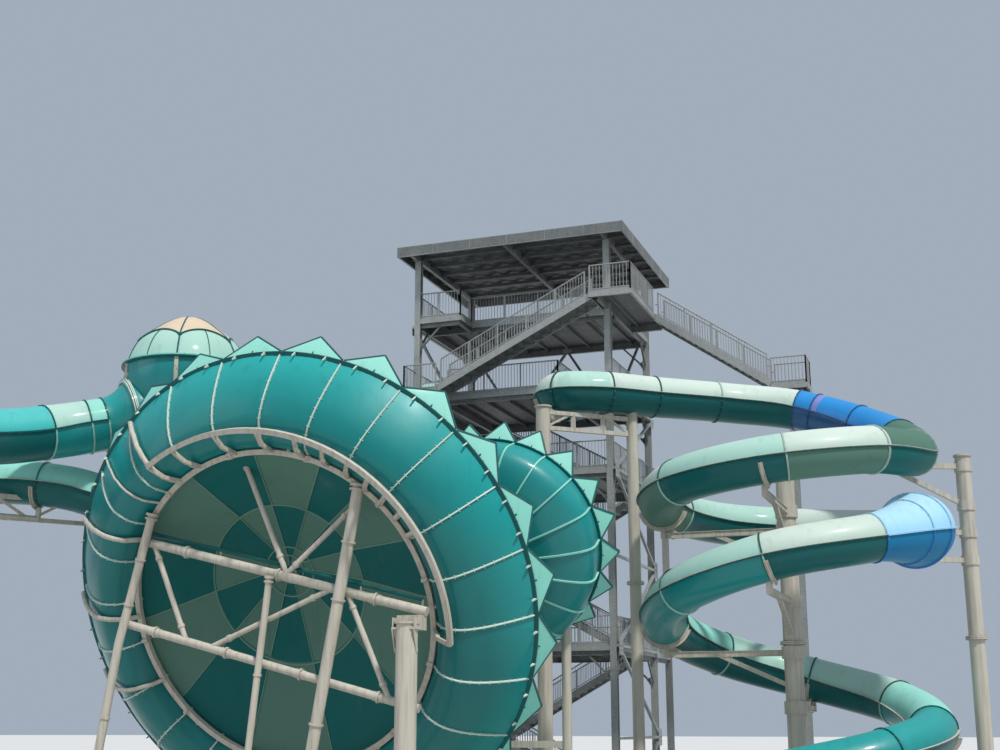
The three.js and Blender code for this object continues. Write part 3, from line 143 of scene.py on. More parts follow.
# %% Finishes
class Finish:
    """A material with one main shader, built node by node."""

    def __init__(self, name, **constants):
        self.material = bpy.data.materials.new(name)
        self.material.use_nodes = True
        self.tree = self.material.node_tree
        self.tree.nodes.clear()
        self.shader = self.tree.nodes.new("ShaderNodeBsdfPrincipled")
        end = self.tree.nodes.new("ShaderNodeOutputMaterial")
        self.tree.links.new(self.shader.outputs[0], end.inputs["Surface"])
        self.set(**constants)

    def plug(self, socket, value):
        if isinstance(value, Out):
            self.tree.links.new(value.socket, socket)
        else:
            socket.default_value = value

    def set(self, **sockets):
        for name, value in sockets.items():
            self.plug(self.shader.inputs[name.replace("_", " ")], value)
        return self.material

    def node(self, kind, settings, sockets, out=0):
        made = self.tree.nodes.new(kind)
        for key, value in settings.items():
            setattr(made, key, value)
        for key, value in sockets.items():
            self.plug(made.inputs[key], value)
        return Out(self, made.outputs[out])

    def mix(self, factor, first, second):
        """A colour between two colours, each a wrapped output or red, green and blue."""
        first, second = (value if isinstance(value, Out) else (*value, 1.0) for value in (first, second))
        return self.node("ShaderNodeMix", {"data_type": "RGBA"}, {0: factor, 6: first, 7: second}, 2)

    def vector(self, operation, first, second, out="Vector"):
        return self.node("ShaderNodeVectorMath", {"operation": operation}, {0: first, 1: second}, out)

    def place(self, stretch=(1, 1, 1)):
        """Object coordinates, stretched along the axes."""
        return self.vector("MULTIPLY", self.node("ShaderNodeTexCoord", {}, {}, "Object"), stretch)

    def noise(self, scale, detail=4.0, stretch=(1, 1, 1), roughness=0.55):
        return self.node("ShaderNodeTexNoise", {}, {
            "Vector": self.place(stretch), "Scale": scale, "Detail": detail, "Roughness": roughness})

    def facing_up(self):
        """1 on faces that look at the sky, 0 on faces that look at the ground."""
        normal = self.node("ShaderNodeNewGeometry", {}, {}, "Normal")
        return self.vector("DOT_PRODUCT", normal, (0, 0, 1), "Value") * 0.5 + 0.5

    def bump(self, height, strength, distance):
        return self.node("ShaderNodeBump", {}, {"Height": height, "Strength": strength, "Distance": distance})


print("finish class ready")

# %% [markdown]
# The slides are fibreglass with a coloured gelcoat. In the sun it chalks: faces that look up are paler and
# duller, and rain leaves faint streaks that run down the flanks. One function makes the finish from its
# colour and its bleached colour, so that each colour of the slide ages in the same way.

# %% Gelcoat finishes
GRIME = (0.16, 0.17, 0.14)


def darker(colour, share):
    return [share * value for value in colour]


def gelcoat(name, colour, bleached, gloss=0.34, chalk=0.55, coat=0.45, painted_shade=None):
    """A colour of the slide; the shade function says where painted shade makes it darker."""
    finish = Finish(f"{name}_gelcoat", Coat_Roughness=0.12, Specular_IOR_Level=coat)
    clouds = finish.noise(0.35, 5.0)
    streaks = finish.noise(2.2, 4.0, stretch=(1.6, 1.6, 0.16))
    grime = finish.noise(1.1, 6.0, stretch=(1, 1, 0.35), roughness=0.65)
    fading = (finish.facing_up().between(0.45, 1.0) * chalk + (clouds - 0.5) * 0.5).clamp()
    sunned = finish.mix(fading, colour, bleached)
    streaked = finish.mix(streaks.between(0.56, 0.8) * 0.3, sunned, darker(colour, 0.5))
    soiled_and_shaded = finish.mix(grime.between(0.62, 0.86) * 0.3, streaked, GRIME)
    # Painted shade: where the shade function says so, the colour turns darker.
    if painted_shade:
        soiled_and_shaded = finish.mix(painted_shade(finish, clouds), soiled_and_shaded, darker(colour, 0.4))
    speckle = finish.noise(95.0, 2.0)
    height = speckle * 0.15 + finish.noise(1.6, 2.0)
    return finish.set(
        Base_Color=soiled_and_shaded, Roughness=(gloss + fading * 0.28 + (speckle - 0.5) * 0.12).clamp(),
        Coat_Weight=(coat - fading * 0.4).clamp(), Normal=finish.bump(height, 0.25, 0.02))


SATIN = {"gloss": 0.5, "coat": 0.2}
MATT = {"gloss": 0.6, "coat": 0.1}
teal = gelcoat("teal", (0.007, 0.215, 0.215), (0.030, 0.400, 0.390), coat=0.3)
bright_teal = gelcoat("bright_teal", (0.030, 0.420, 0.410), (0.130, 0.580, 0.550), coat=0.3)
deep_teal = gelcoat("deep_teal", (0.006, 0.098, 0.098), (0.014, 0.150, 0.148), coat=0.15)
mint = gelcoat("mint", (0.230, 0.600, 0.510), (0.360, 0.720, 0.620), **SATIN)
pale_mint = gelcoat("pale_mint", (0.320, 0.560, 0.480), (0.540, 0.720, 0.640), **SATIN)
chalk_mint = gelcoat("chalk_mint", (0.430, 0.560, 0.490), (0.630, 0.720, 0.650), chalk=0.9, coat=0.25)
dark_green = gelcoat("dark_green", (0.005, 0.110, 0.104), (0.010, 0.130, 0.120), **MATT)
light_green = gelcoat("light_green", (0.088, 0.190, 0.148), (0.105, 0.185, 0.150), **MATT)
seam_green = gelcoat("seam_green", (0.150, 0.260, 0.200), (0.230, 0.350, 0.280), **MATT)
blue = gelcoat("blue", (0.012, 0.190, 0.520), (0.030, 0.340, 0.750), coat=0.3)
flare_blue = gelcoat("flare_blue", (0.008, 0.170, 0.350), (0.020, 0.260, 0.500), gloss=0.5, coat=0.1)
deep_blue = gelcoat("deep_blue", (0.010, 0.080, 0.220), (0.020, 0.130, 0.320))
sky_blue = gelcoat("sky_blue", (0.330, 0.620, 0.830), (0.540, 0.790, 0.920), gloss=0.45, coat=0.2)
violet = gelcoat("violet", (0.130, 0.160, 0.480), (0.300, 0.330, 0.640))
sand = gelcoat("sand", (0.620, 0.480, 0.320), (0.780, 0.640, 0.470), gloss=0.5)
print("gelcoats made:", len([m for m in bpy.data.materials if m.name.endswith("gelcoat")]))

# %% [markdown]
# The tower is hot-dip galvanised: a dull metal with a soft crystal pattern, darker where water has dried.
# The slide supports are painted cream over the same steel, with dirt in runs, painted shade on the faces that
# look down and a few rust-coloured runs.
# Both are patterns in the object's own space, because plain sheet and bar has no unwrapped surface.

# %% Steel finishes
RUST = (0.27, 0.12, 0.05)


def galvanised(name, light, dark, metal=0.35):
    finish = Finish(name)
    crystals = finish.node("ShaderNodeTexVoronoi", {}, {"Vector": finish.place(), "Scale": 28.0}, "Color")
    facet = finish.node("ShaderNodeSeparateColor", {}, {"Color": crystals})
    clouds = finish.noise(0.9, 6.0)
    runs = finish.noise(3.0, 5.0, stretch=(2, 2, 0.2))
    wear = (clouds * 0.6 + facet * 0.25 + runs * 0.35).between(0.3, 0.95)
    return finish.set(
        Base_Color=finish.mix(wear, light, dark), Metallic=metal + wear * 0.2,
        Roughness=(0.42 + facet * 0.2 + wear * 0.15).clamp(),
        Normal=finish.bump(finish.noise(60.0, 3.0), 0.2, 0.004))


def painted(name, colour, dirt_and_shade, rust=0.5):
    finish = Finish(name, Specular_IOR_Level=0.45)
    clouds = finish.noise(0.8, 5.0)
    runs = finish.noise(4.5, 5.0, stretch=(2, 2, 0.12))
    spots = finish.noise(11.0, 6.0, roughness=0.7)
    # Faces that look down are pulled towards the dirt colour: painted shade on the undersides, added to real
    # dirt runs and clouds.
    underside_shade = 1 - finish.facing_up()
    dirtied_and_shaded = finish.mix((runs.between(0.45, 0.85) * 0.55 + underside_shade * 0.4 + clouds * 0.2).clamp(), colour, dirt_and_shade)
    rusted = finish.mix(spots.between(0.69, 0.8) * rust, dirtied_and_shaded, RUST)
    return finish.set(
        Base_Color=rusted, Roughness=(0.42 + clouds * 0.25).clamp(),
        Normal=finish.bump(finish.noise(45.0, 3.0), 0.15, 0.004))


# The bright galvanised steel is the tower's own colour; the dull and the shaded copies are darker versions of
# it: painted shade on webs, beams, steps and the undersides of decks and roof.
zinc = galvanised("bright_galvanised_steel", (0.42, 0.43, 0.42), (0.26, 0.27, 0.265))
dull_shaded_zinc = galvanised("dull_shaded_galvanised_steel", (0.24, 0.25, 0.245), (0.12, 0.125, 0.125))
shaded_zinc = galvanised("shaded_galvanised_steel", (0.15, 0.155, 0.155), (0.07, 0.075, 0.075), metal=0.2)
# The second colour of the cream and the trim is their dirt colour, which also paints the shade of their
# undersides.
cream = painted("cream_paint", (0.60, 0.565, 0.48), (0.24, 0.205, 0.165))
trim = painted("dark_edge_trim", (0.020, 0.120, 0.120), (0.010, 0.050, 0.052), rust=0.0)
bolt_steel = galvanised("bolt_steel", (0.45, 0.45, 0.44), (0.28, 0.28, 0.27), metal=0.6)
print("steel finishes made")

# %% [markdown]
# Every shape below is made of points, and a few small helpers give them: even angles round a circle, even
# steps along a line, and the two directions across a straight member. They keep the later cells short.

# %% Points and directions
UP = Vector((0, 0, 1))


def at(x, y, z):
    return Vector((x, y, z))


def turns(count, start=0.0):
    """Even angles all the way round."""
    return [start + 2 * math.pi * i / count for i in range(count)]


def even_shares(count):
    """Even steps from 0 to 1, both included."""
    return [i / count for i in range(count + 1)]


def member_axes(start, end):
    """Sideways and upright directions across a straight member."""
    along = (end - start).normalized()
    side = along.cross(UP)
    side = side.normalized() if side.length > 0.02 else at(1, 0, 0)
    return side, side.cross(along)


def circle(centre, side, upright, radius, sides):
    return [centre + (side * math.cos(a) + upright * math.sin(a)) * radius for a in turns(sides)]


print("the shares of four steps:", even_shares(4))

# %% [markdown]
# Most of this plant is sheet, pipe and bar, so every piece is collected as corners and faces in one small
# class and turned into a mesh at the end. Modifiers could do parts of it, but plain rows of points keep
# each flange exactly where its shell is.

# %% Mesh collector
class Form:
    """Corners and faces of one piece; each face carries the number of its finish."""

    def __init__(self, name, node, slot, *finishes):
        self.name, self.node, self.slot, self.finishes = name, node, slot, finishes
        self.points, self.faces, self.kinds = [], [], []

    def add(self, points, faces, kind=0):
        first = len(self.points)
        self.points += [tuple(point) for point in points]
        self.faces += [tuple(first + i for i in face) for face in faces]
        self.kinds += kind if isinstance(kind, list) else [kind] * len(faces)

    def grid(self, rows, kind=0, ring=False, loop=False):
        """Faces between rows of points; ring closes each row, loop joins the last row to the first."""
        wide = len(rows[0])
        faces, kinds = [], []
        for r in range(len(rows) - (not loop)):
            here, there = r * wide, (r + 1) % len(rows) * wide
            for c in range(wide - (not ring)):
                right = (c + 1) % wide
                faces.append((here + c, here + right, there + right, there + c))
                kinds.append(kind(r, c) if callable(kind) else kind)
        self.add([point for row in rows for point in row], faces, kinds)

    def sleeve(self, rows, kind=0):
        """A closed body through rows that are rings."""
        self.grid(rows, kind, ring=True)
        end = len(rows[0])
        ends = kind(0, 0) if callable(kind) else kind
        self.add(rows[0], [tuple(range(end))], ends)
        self.add(rows[-1], [tuple(reversed(range(end)))], ends)

    def bar(self, start, end, width, depth=None, kind=0):
        side, upright = member_axes(start, end)
        side, upright = side * width / 2, upright * (depth or width) / 2
        self.sleeve([[p - side - upright, p + side - upright, p + side + upright, p - side + upright]
                     for p in (start, end)], kind)

    def chain(self, points, width, depth=None, kind=0):
        """Bars from each point to the next."""
        for start, end in zip(points, points[1:]):
            self.bar(start, end, width, depth, kind)

    def pipe(self, points, diameter, sides=14, kind=0):
        """A round pipe of straight lengths through points, mitred at its bends."""
        rows = []
        for i, point in enumerate(points):
            side, upright = member_axes(points[max(i - 1, 0)], points[min(i + 1, len(points) - 1)])
            rows.append(circle(point, side, upright, diameter / 2, sides))
        self.sleeve(rows, kind)

    def rod(self, start, end, diameter, sides=14, kind=0):
        self.pipe([start, end], diameter, sides, kind)

    def collar(self, middle, along, reach, diameter, sides):
        """A short round sleeve, centred on a pipe."""
        self.rod(middle - along * reach, middle + along * reach, diameter, sides)

    def block(self, low, high, kind=0):
        (x0, y0, z0), (x1, y1, z1) = low, high
        self.sleeve([[at(x0, y0, z), at(x1, y0, z), at(x1, y1, z), at(x0, y1, z)] for z in (z0, z1)], kind)

    def sheet(self, points, thick, kind=0):
        """A flat plate with the given corners."""
        half = (points[1] - points[0]).cross(points[2] - points[1]).normalized() * thick / 2
        self.sleeve([[p - half for p in points], [p + half for p in points]], kind)

    def stud(self, place, along, size, kind=1):
        """A six-sided bolt head."""
        along = along.normalized()
        side = along.cross(UP if abs(along.z) < 0.9 else at(1, 0, 0)).normalized()
        other = along.cross(side)
        rows = [circle(place + along * height, side, other, size, 6) for height in (-size, size * 0.9)]
        self.grid(rows, kind, ring=True)
        self.add(rows[1], [tuple(range(6))], kind)

    def build(self, sharp=32):
        mesh = bpy.data.meshes.new(self.name)
        mesh.from_pydata(self.points, [], self.faces)
        for finish in self.finishes:
            mesh.materials.append(finish)
        mesh.polygons.foreach_set("material_index", self.kinds)
        tidy = bmesh.new()
        tidy.from_mesh(mesh)
        bmesh.ops.recalc_face_normals(tidy, faces=tidy.faces)
        tidy.to_mesh(mesh)
        tidy.free()
        mesh.shade_smooth()
        mesh.set_sharp_from_angle(angle=math.radians(sharp))
        piece = add_object(self.name, mesh)
        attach(piece, "root")
        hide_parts(self.node)
        print(f"{self.name}: {sum(len(face) - 2 for face in self.faces)} triangles")


print("mesh collector ready")

# %% [markdown]
# A slide tube follows a smooth line through a few points. A Bezier curve with a bevel would also make it,
# but the shell's halves, its long flanges and its ring joints all have to follow the same line, so the line
# is worked out once here: a centripetal Catmull-Rom curve, measured along its length.

# %% Slide routes
class Route:
    """A smooth line through points. A station is a point's number, a place is metres along the line."""

    def __init__(self, points, closeness=40):
        self.points = [Vector(p) for p in points]
        self.closeness = closeness
        steps = (len(points) - 1) * closeness
        self.line = [self.between(i / closeness) for i in range(steps + 1)]
        self.run = [0.0]
        for before, after in zip(self.line, self.line[1:]):
            self.run.append(self.run[-1] + (after - before).length)

    def between(self, station):
        count = len(self.points)
        i = min(int(station), count - 2)
        p1, p2 = self.points[i], self.points[i + 1]
        p0 = self.points[i - 1] if i > 0 else p1 * 2 - p2
        p3 = self.points[i + 2] if i + 2 < count else p2 * 2 - p1
        d0, d1, d2 = [(b - a).length ** 0.5 for a, b in ((p0, p1), (p1, p2), (p2, p3))]
        m1 = ((p1 - p0) / d0 - (p2 - p0) / (d0 + d1) + (p2 - p1) / d1) * d1
        m2 = ((p2 - p1) / d1 - (p3 - p1) / (d1 + d2) + (p3 - p2) / d2) * d1
        t = station - i
        return p1 + m1 * t + (p2 * 3 - p1 * 3 - m1 * 2 - m2) * t ** 2 + (p1 * 2 - p2 * 2 + m1 + m2) * t ** 3

    def place(self, station):
        return self.run[round(station * self.closeness)]

    def nearest(self, point):
        """The place on the line that is nearest to a point."""
        return self.run[min(range(len(self.line)), key=lambda i: (self.line[i] - point).length)]

    def frame(self, place):
        """Centre, direction, sideways and upright at a place."""
        low, high = 0, len(self.run) - 1
        while high - low > 1:
            middle = (low + high) // 2
            low, high = (middle, high) if self.run[middle] <= place else (low, middle)
        share = (place - self.run[low]) / (self.run[high] - self.run[low])
        centre = self.line[low].lerp(self.line[high], share)
        along = (self.line[min(high + 1, len(self.line) - 1)] - self.line[max(low - 1, 0)]).normalized()
        side = UP.cross(along).normalized()
        return centre, along, side, along.cross(side)

    def ring(self, place, radius, sides):
        centre, _, side, upright = self.frame(place)
        return circle(centre, side, upright, radius, sides)


HELIX_CENTRE = at(15.2, -4.75, 0)
HELIX_RADIUS = 4.1
HELIX_HEIGHTS = [14.75, 12.2, 11.5, 10.9, 10.45, 9.75, 8.6, 7.0, 5.3, 3.6, 2.3]


def helix_point(quarter):
    angle = quarter * math.pi / 2
    low = min(int(quarter), len(HELIX_HEIGHTS) - 2)
    share = quarter - low
    height = HELIX_HEIGHTS[low] * (1 - share) + HELIX_HEIGHTS[low + 1] * share
    return HELIX_CENTRE + at(HELIX_RADIUS * math.sin(angle), HELIX_RADIUS * math.cos(angle), height)


right_route = Route(
    [(6.9, 3.2, 17.05), (6.9, 0.8, 16.2), (6.9, -1.6, 15.5), (6.95, -3.4, 15.2), (7.5, -4.65, 15.15),
     (8.8, -4.25, 15.15), (10.4, -2.85, 15.15), (12.9, -1.05, 15.1)]
    + [helix_point(eighth / 2) for eighth in range(21)]
    + [(12.7, -9.45, 1.75), (9.8, -10.2, 1.35), (6.9, -10.3, 1.3)])
feed_route = Route([(0.6, 1.56, 16.75), (-0.9, 0.9, 16.4), (-2.6, -2.2, 15.9), (-3.9, -5.6, 15.4),
                    (-4.3, -8.2, 15.0), (-4.15, -9.6, 14.8)])
left_route = Route(
    [(-4.6, -11.6, 13.75), (-5.68, -12.7, 13.34), (-6.6, -13.7, 13.0), (-7.5, -15.4, 12.55),
     (-8.6, -17.3, 12.3), (-10.4, -18.2, 12.1), (-12.2, -17.3, 11.95), (-12.9, -15.6, 11.85),
     (-12.0, -13.9, 11.75), (-10.2, -13.1, 11.65), (-8.0, -12.7, 11.5), (-6.5, -12.15, 11.2),
     (-5.3, -11.75, 10.6), (-4.2, -12.2, 9.7)])
for name, route in (("right", right_route), ("feed", feed_route), ("left", left_route)):
    print(f"{name} route: {route.run[-1]:.1f} m")

# %% [markdown]
# Closed slides are bolted together from half shells. Two long flanges show on the flanks where the upper
# and lower half meet, and a slim ring joint shows wherever one pair of halves ends. The halves often have
# different colours, and so do neighbouring lengths, which is why a skin is a list of lengths and each face
# takes the finish of its own half.

# %% Tube maker
TUBE_RADIUS = 0.725
BIG_TUBE_RADIUS = 0.875
TUBE_WALL = 0.06
SIDES = 40
SLICE = 0.24
BOLT = 0.013
BOLT_PITCH = 0.3
RING_BOLTS = 20


def ring_joint(form, route, place, radius, kinds, proud=0.038, half=0.022):
    """Two bolted flanges round a tube; kinds are the numbers of the upper, lower and bolt finishes."""
    centre, along, side, upright = route.frame(place)
    for near, far in ((-half, -0.004), (0.004, half)):
        chamfer = near * 0.75 + far * 0.25
        section = ((near, -0.02), (near, proud * 0.8), (chamfer, proud), (far, proud), (far, -0.02))
        rows = [circle(centre + along * reach, side, upright, radius + out, SIDES)
                for reach, out in section]
        form.grid(rows, lambda r, c: kinds[c >= SIDES // 2], ring=True)
    for angle in turns(RING_BOLTS, math.pi / RING_BOLTS):
        spot = centre + (side * math.cos(angle) + upright * math.sin(angle)) * (radius + proud * 0.5)
        for sense in (-1, 1):
            form.stud(spot + along * half * sense, along * sense, BOLT, kinds[2])


def even(radius):
    return lambda share: radius


def tube(name, node, stations, skins, joints, radius_at=even(TUBE_RADIUS), slot="teal_gelcoat",
         route=right_route, flanges=(cream, deep_teal), rings=(deep_teal, pale_mint)):
    """A tube between two stations. Each skin is (share where it starts, upper finish, lower finish)."""
    halves = [finish for _, upper, lower in skins for finish in (upper, lower)]
    extra = len(halves)
    form = Form(name, node, slot, *halves, *flanges, *rings, bolt_steel)
    start, end = [route.place(station) for station in stations]
    count = max(4, round((end - start) / SLICE))
    shares = even_shares(count)
    places = [start + (end - start) * t for t in shares]
    outer = [route.ring(place, radius_at(t), SIDES) for place, t in zip(places, shares)]
    inner = [route.ring(place, radius_at(t) - TUBE_WALL, SIDES) for place, t in zip(places, shares)]

    def kind(r, c):
        middle = shares[min(r, max(0, 2 * count - r))] + 0.5 / count
        skin = max(i for i, (first, _, _) in enumerate(skins) if first <= middle)
        return 2 * skin + (c >= SIDES // 2)

    form.grid(outer + inner[::-1], kind, ring=True, loop=True)
    for sense in (-1, 1):
        for low, high, flange in ((0.003, 0.026, extra), (-0.026, -0.003, extra + 1)):
            corners = ((-0.03, low), (0.055, low), (0.065, (low + high) / 2), (0.055, high), (-0.03, high))
            rows = []
            for place, t in zip(places, shares):
                centre, _, side, upright = route.frame(place)
                rows.append([centre + side * sense * (radius_at(t) + out) + upright * rise
                             for out, rise in corners])
            form.sleeve(rows, flange)
        for i in range(int((end - start) / BOLT_PITCH)):
            reach = (i + 0.5) * BOLT_PITCH
            centre, _, side, upright = route.frame(start + reach)
            out = radius_at(reach / (end - start)) + 0.03
            form.stud(centre + side * sense * out - upright * 0.026, -upright, BOLT, extra + 4)
    for t in joints:
        place = min(max(start + (end - start) * t, 0.05), route.run[-1] - 0.05)
        ring_joint(form, route, place, radius_at(t), (extra + 2, extra + 3, extra + 4))
    form.build()


print("tube maker ready")

# %% [markdown]
# The slide on the right starts on the third deck, bends round its elbow, runs along the tower's front and
# winds down a helix. Each length keeps the colours of its own two halves: chalked mint above and deep teal
# below at the start, blue where it enters the helix, then grey-green, and teal with mint further down.

# %% Right slide
FLARE_RADIUS = 1.15
FLARE_WIDEST = 0.625


def flare_radius(share):
    """Swells fast to the widest place and narrows in a trumpet."""
    rise = math.sin(math.pi / 2 * min(1, share / FLARE_WIDEST)) ** 2
    fall = min(1, max(0, 1 - share) / (1 - FLARE_WIDEST)) ** 1.4
    return TUBE_RADIUS + (FLARE_RADIUS - TUBE_RADIUS) * rise * fall


tube("elbow_shell", "elbow_tube", (0, 6),
     [(0, chalk_mint, deep_teal), (0.707, pale_mint, deep_teal), (0.845, chalk_mint, deep_teal)],
     [0.0, 0.3, 0.52, 0.707, 0.845, 1.0], rings=(deep_teal, deep_teal))
tube("upper_shell", "upper_tube", (6, 8), [(0, chalk_mint, deep_teal)], [0.45],
     rings=(pale_mint, deep_teal))
tube("blue_shell", "blue_tube", (8, 10),
     [(0, blue, deep_blue), (0.1, violet, deep_blue), (0.125, sky_blue, deep_blue), (0.15, blue, deep_blue),
      (0.67, light_green, dark_green)],
     [0.0, 0.1, 0.346, 0.67], slot="blue_gelcoat", flanges=(deep_blue, deep_blue),
     rings=(deep_blue, deep_blue))
tube("helix_shell_1", "helix_tube_1", (10, 13),
     [(0, light_green, dark_green), (0.31, chalk_mint, light_green), (0.6, pale_mint, deep_teal)],
     [0.0, 0.31, 0.6], rings=(chalk_mint, chalk_mint))
tube("helix_shell_2", "helix_tube_2", (13, 17),
     [(0, chalk_mint, light_green), (0.33, pale_mint, deep_teal), (0.67, chalk_mint, deep_teal)],
     [0.0, 0.33, 0.67])
tube("helix_shell_3", "helix_tube_3", (19, 23),
     [(0, chalk_mint, deep_teal), (0.25, pale_mint, teal), (0.75, mint, deep_teal)], [0.25, 0.5, 0.75])
tube("helix_shell_4", "helix_tube_4", (23, 28),
     [(0, pale_mint, deep_teal), (0.4, mint, teal), (0.6, teal, deep_teal)], [0.0, 0.2, 0.4, 0.6, 0.8])
tube("run_out_shell", "run_out_tube", (28, 31), [(0, teal, deep_teal), (0.5, mint, teal)], [0.0, 0.5, 1.0])
tube("flare_shell", "flared_chamber", (17, 19), [(0, sky_blue, flare_blue)], [0.0, FLARE_WIDEST, 0.75, 1.0],
     flare_radius, "sky_blue_gelcoat", flanges=(sky_blue, sky_blue), rings=(sky_blue, blue))

# %% [markdown]
# The slide on the left leaves the tower, passes the domed chamber and loops round a mast into the bowl.
# Its upper halves are pale from the sun as well, and its lower halves stay teal. The same tube maker serves
# with a larger radius, because these lengths differ from the others only in size and colour.

# %% Left slide
tube("feed_shell", "feed_tube", (0, 5), [(0, pale_mint, teal), (0.5, mint, teal)], [0.0, 0.25, 0.5, 0.75],
     even(BIG_TUBE_RADIUS), route=feed_route)
tube("left_shell", "left_tube", (1, 9),
     [(0, mint, teal), (0.033, pale_mint, teal), (0.125, bright_teal, deep_teal), (0.3, pale_mint, teal),
      (0.5, bright_teal, deep_teal), (0.7, mint, teal)],
     [0.0, 0.033, 0.125, 0.3, 0.5, 0.7, 0.86], even(BIG_TUBE_RADIUS), route=left_route,
     flanges=(deep_teal, deep_teal))
tube("lower_left_shell", "lower_left_tube", (9, 13), [(0, mint, deep_teal)], [0.0, 0.35, 0.7],
     route=left_route, rings=(teal, deep_teal))

# %% [markdown]
# The chamber and the bowl are turned shapes, moulded in sections. A lathe-like sweep of a profile suits
# them: a soft curve through a few flat points, a direction square to that curve for everything that stands
# on it, and rings of the curve's points. The chamber's two halves meet at a bolted flange.

# %% Turned shells
DOME_CENTRE = at(-3.68, -11.05, 15.4)
DOME_SEAM = math.radians(-67)
DOME_WALL = 0.06
TRUMPET_RADIUS = 1.35
TRUMPET_STRAIGHT = 0.42
COLLAR = 0.44
FLANGE_BOLTS = 48
CROWN_POINTS = 6
CROWN_RADIUS = 1.74


def smooth_line(points, parts):
    """A soft curve through flat (radius, height) points."""
    return [(p.x, p.y) for p in Route([(r, t, 0) for r, t in points], parts).line]


def across(line, i):
    """The direction square to a flat line at point i, as (radius, height)."""
    (r0, t0), (r1, t1) = line[max(i - 1, 0)], line[min(i + 1, len(line) - 1)]
    length = math.hypot(r1 - r0, t1 - t0)
    return -(t1 - t0) / length, (r1 - r0) / length


def dome_place(r, angle, t):
    return DOME_CENTRE + at(r * math.cos(angle), r * math.sin(angle), t)


def dome_skin(form, profile, kind=0):
    form.grid([[dome_place(r, a, t) for r, t in profile] for a in turns(96)], kind, ring=True, loop=True)


def dome_shell(form, line):
    """A shell of even thickness, turned from the line of its outer side."""
    inner = []
    for i, (r, t) in enumerate(line):
        nr, nt = across(line, i)
        inner.append((max(r + nr * DOME_WALL, 0.005), t + nt * DOME_WALL))
    dome_skin(form, line + inner[::-1])


def dome_flange(form, sense, kind, bolt_kind):
    """The bolted flange at the seam: above it for sense 1 and below it for sense -1."""
    section = ((1.98, 0.004), (2.16, 0.004), (2.16, 0.045), (1.98, 0.045))
    dome_skin(form, [(r, t * sense) for r, t in section], kind)
    for angle in turns(FLANGE_BOLTS):
        form.stud(dome_place(2.11, angle, 0.045 * sense), UP * sense, 0.018, bolt_kind)


print("turned shells ready")

# %% [markdown]
# The domed chamber's lower half is a teal pot with six cream seam strips, and a trumpet in its side narrows
# to the slide's tube. The trumpet is swept along the slide's own line, so that it meets the tube squarely,
# and a double ring joint sits round its widest part.

# %% Domed chamber
dome = Form("dome_lower_shell", "dome_chamber", "teal_gelcoat",
            teal, deep_teal, cream, bolt_steel, chalk_mint)
lower_line = smooth_line(
    [(0.02, -2.8), (1.0, -2.76), (1.55, -2.1), (1.9, -1.3), (2.05, -0.6), (2.05, -0.003)], 5)
dome_shell(dome, lower_line)
neck = left_route.place(1)
trumpet = []
for share in even_shares(14):
    swell = min(1, (1 - share) / (1 - TRUMPET_STRAIGHT)) ** 2
    radius = BIG_TUBE_RADIUS + (TRUMPET_RADIUS - BIG_TUBE_RADIUS) * swell
    trumpet.append(left_route.ring(neck * share, radius, SIDES))
dome.grid(trumpet, ring=True)
for inset in (0.0, 0.05):
    radius = TRUMPET_RADIUS - inset * 1.2
    ring_joint(dome, left_route, neck * COLLAR + inset, radius, (4, 4, 3), 0.07, 0.045)
for angle in turns(CROWN_POINTS, DOME_SEAM):
    dome.chain([dome_place(r + 0.01, angle, t) for r, t in lower_line[6:]], 0.13, 0.06, 2)
dome_flange(dome, -1, 1, 1)
dome.build()

# %% [markdown]
# The chamber's cap is mint with a sand-coloured crown, whose edge runs down to a point at six of the seams.
# The crown is a thin skin laid over the cap, because a change of finish alone would give a stepped edge.

# %% Cap of the chamber
cap = Form("dome_cap_shell", "dome_cap", "mint_gelcoat", pale_mint, sand, deep_teal, mint)
cap_line = smooth_line(
    [(2.05, 0.002), (1.92, 0.4), (1.66, 0.85), (1.1, 1.32), (0.7, 1.6), (0.35, 1.76), (0.02, 1.8)], 5)
dome_shell(cap, cap_line)


def on_cap(r, angle, out):
    """A point over the cap at a radius, by straight steps along its line."""
    (r0, t0), (r1, t1) = next((a, b) for a, b in zip(cap_line, cap_line[1:]) if b[0] <= r <= a[0])
    return dome_place(r, angle, t0 + (t1 - t0) * (r0 - r) / (r0 - r1) + out)


def crown_edge(angle):
    """The crown reaches down to a point at each of six seams."""
    swing = abs(math.sin((angle - DOME_SEAM) * CROWN_POINTS / 2))
    return CROWN_RADIUS - 0.3 * swing ** 0.7


rows, edge = [], []
for angle in turns(144, DOME_SEAM):
    reach = crown_edge(angle)
    over = [on_cap(reach * (1 - share) + 0.03 * share, angle, 0.02) for share in even_shares(12)]
    rows.append([on_cap(reach + 0.01, angle, -0.02)] + over)
    edge.append(over[0])
cap.grid(rows, 1, loop=True)
cap.chain(edge + edge[:1], 0.075, 0.05, 2)
for k, angle in enumerate(turns(2 * CROWN_POINTS, DOME_SEAM)):
    size, reach = (0.028, crown_edge(angle)) if k % 2 else (0.05, 0.05)
    rib = [on_cap(2.04 - (2.04 - reach) * share, angle, 0.01) for share in even_shares(14)]
    cap.chain(rib, size, kind=2)
dome_flange(cap, 1, 3, 2)
cap.build()

# %% [markdown]
# The bowl is the largest piece: a ring-shaped trough fifteen metres across with a shallow cone in the
# middle, on an axis tilted towards the tower, so that its back faces the viewer. It is bolted together
# from twenty-four wall panels. The frame below has X to the right, Y up the back and Z out of the mouth.

